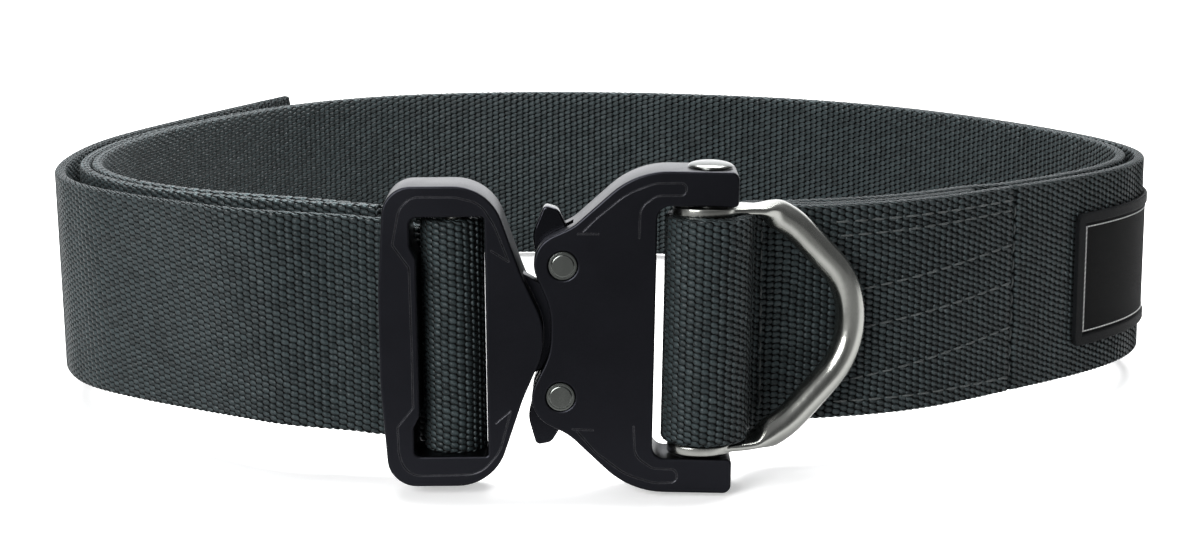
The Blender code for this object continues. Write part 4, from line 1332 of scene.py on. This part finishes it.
# Studio. The belt stands on a sheet of pale paper. Metal and cloth see the paper darker than the
# camera does, and darkest in front of the belt, so that the front faces keep their deep tones:
# this is painted shade in the paper's reflections and bounce light.
FLOOR_SIZE = 6.0
FLOOR_BELOW = 0.0005
FLOOR_FADE_Y = (-0.112, -0.185)
FLOOR_PAINTED_SHADE = (0.10, 0.10, 0.10)
FLOOR_GLOW = 0.42
FLOOR_FOR_CLOTH = 0.6
FLOOR_FOR_METAL = 0.5
FLOOR_ROUGHNESS = 0.9
PAPER_SHADES = ((0.90, 0.90, 0.90), (0.94, 0.94, 0.94))
PAPER_SCALE = 4.0


def make_floor_paper():
    material, tree, shader = new_material("floor_paper")
    paper = mix_colours(tree, add_noise(tree, PAPER_SCALE), *PAPER_SHADES)
    place = tree.nodes.new("ShaderNodeTexCoord")
    split = tree.nodes.new("ShaderNodeSeparateXYZ")
    tree.links.new(place.outputs["Object"], split.inputs[0])
    rays = tree.nodes.new("ShaderNodeLightPath")
    fade = ramp(tree, split.outputs[1], *FLOOR_FADE_Y)
    unseen = calc(tree, "SUBTRACT", 1.0, rays.outputs["Is Camera Ray"])
    # Painted shade: in front of the belt the paper turns dark for every ray but the camera's.
    shown = mix_colours(tree, calc(tree, "MULTIPLY", fade, unseen), paper, FLOOR_PAINTED_SHADE)
    # Painted shade: bounced and reflected rays see the paper darker still.
    dimmed = calc(tree, "MULTIPLY", rays.outputs["Is Diffuse Ray"], FLOOR_FOR_CLOTH)
    dimmed = calc(tree, "MULTIPLY_ADD", rays.outputs["Is Glossy Ray"], FLOOR_FOR_METAL, dimmed)
    dimmed = calc(tree, "MINIMUM", dimmed, FLOOR_FOR_CLOTH)
    shown = mix_colours(tree, dimmed, shown, FLOOR_PAINTED_SHADE)
    tree.links.new(shown, shader.inputs["Base Color"])
    tree.links.new(shown, shader.inputs["Emission Color"])
    shader.inputs["Emission Strength"].default_value = FLOOR_GLOW
    shader.inputs["Roughness"].default_value = FLOOR_ROUGHNESS
    return material


ground = bmesh.new()
bmesh.ops.create_grid(ground, x_segments=1, y_segments=1, size=FLOOR_SIZE / 2)
ground_mesh = bpy.data.meshes.new("floor")
ground.to_mesh(ground_mesh)
ground.free()
ground_mesh.materials.append(make_floor_paper())
floor = bpy.data.objects.new("floor", ground_mesh)
bpy.context.scene.collection.objects.link(floor)
floor.location.z = -FLOOR_BELOW

# Room. Dark walls, a paler ceiling and a bright back wall behind the belt, and two soft lamps: one in
# front at the left, and a large one over the back of the belt.
ROOM_COLOUR = (0.97, 0.98, 1.0, 1.0)
ROOM_CEILING_Z = (0.25, 0.75)
ROOM_CEILING = (0.05, 0.22)
ROOM_BACK_Y = (0.5, 0.95)
ROOM_BACK = (0.0, 1.95)
ROOM_SHINE = 0.1
LAMPS = (
    # name, place, aim, size, watts
    ("key", (-0.45, -0.94, 0.42), (0.0, -0.05, 0.03), (0.5, 0.5), 11.5),
    ("top", (0.0, 0.4, 1.2), (0.0, 0.1, 0.0), (1.2, 0.8), 44.0),
)
world = bpy.data.worlds.new("studio")
bpy.context.scene.world = world
world.use_nodes = True
room = world.node_tree
toward = room.nodes.new("ShaderNodeTexCoord")
parts = room.nodes.new("ShaderNodeSeparateXYZ")
room.links.new(toward.outputs["Generated"], parts.inputs[0])
seen_by = room.nodes.new("ShaderNodeLightPath")
brightness = calc(room, "ADD", ramp(room, parts.outputs[2], *ROOM_CEILING_Z, *ROOM_CEILING),
                  ramp(room, parts.outputs[1], *ROOM_BACK_Y, *ROOM_BACK))
brightness = calc(room, "MULTIPLY_ADD", seen_by.outputs["Is Glossy Ray"], ROOM_SHINE, brightness)
room.nodes["Background"].inputs["Color"].default_value = ROOM_COLOUR
room.links.new(brightness, room.nodes["Background"].inputs["Strength"])
for name, place, aim, size, watts in LAMPS:
    lamp = bpy.data.lights.new(name, "AREA")
    lamp.shape = "RECTANGLE"
    lamp.size, lamp.size_y = size
    lamp.energy = watts
    item = bpy.data.objects.new(name, lamp)
    bpy.context.scene.collection.objects.link(item)
    item.location = place
    item.rotation_euler = (Vector(aim) - Vector(place)).to_track_quat("-Z", "Y").to_euler()

# Camera. It looks straight at the buckle's side of the belt and a little down, in the belt's own
# directions, which lean with the belt.
CAMERA_PLACE = (0.0, -486.0, 128.0)
CAMERA_PITCH = 11.1
CAMERA_LENS = 75.0
CAMERA_SENSOR = 36.0
CAMERA_NEAR = 0.01
camera_data = bpy.data.cameras.new("camera")
camera_data.lens = CAMERA_LENS
camera_data.sensor_width = CAMERA_SENSOR
camera_data.clip_start = CAMERA_NEAR
camera = bpy.data.objects.new("camera", camera_data)
bpy.context.scene.collection.objects.link(camera)
camera.location = belt @ Vector(CAMERA_PLACE)
looking = belt.to_euler().to_matrix() @ Matrix.Rotation(math.radians(90.0 - CAMERA_PITCH), 3, "X")
camera.rotation_euler = looking.to_euler()
bpy.context.scene.camera = camera
bpy.context.scene.view_settings.view_transform = "Standard"
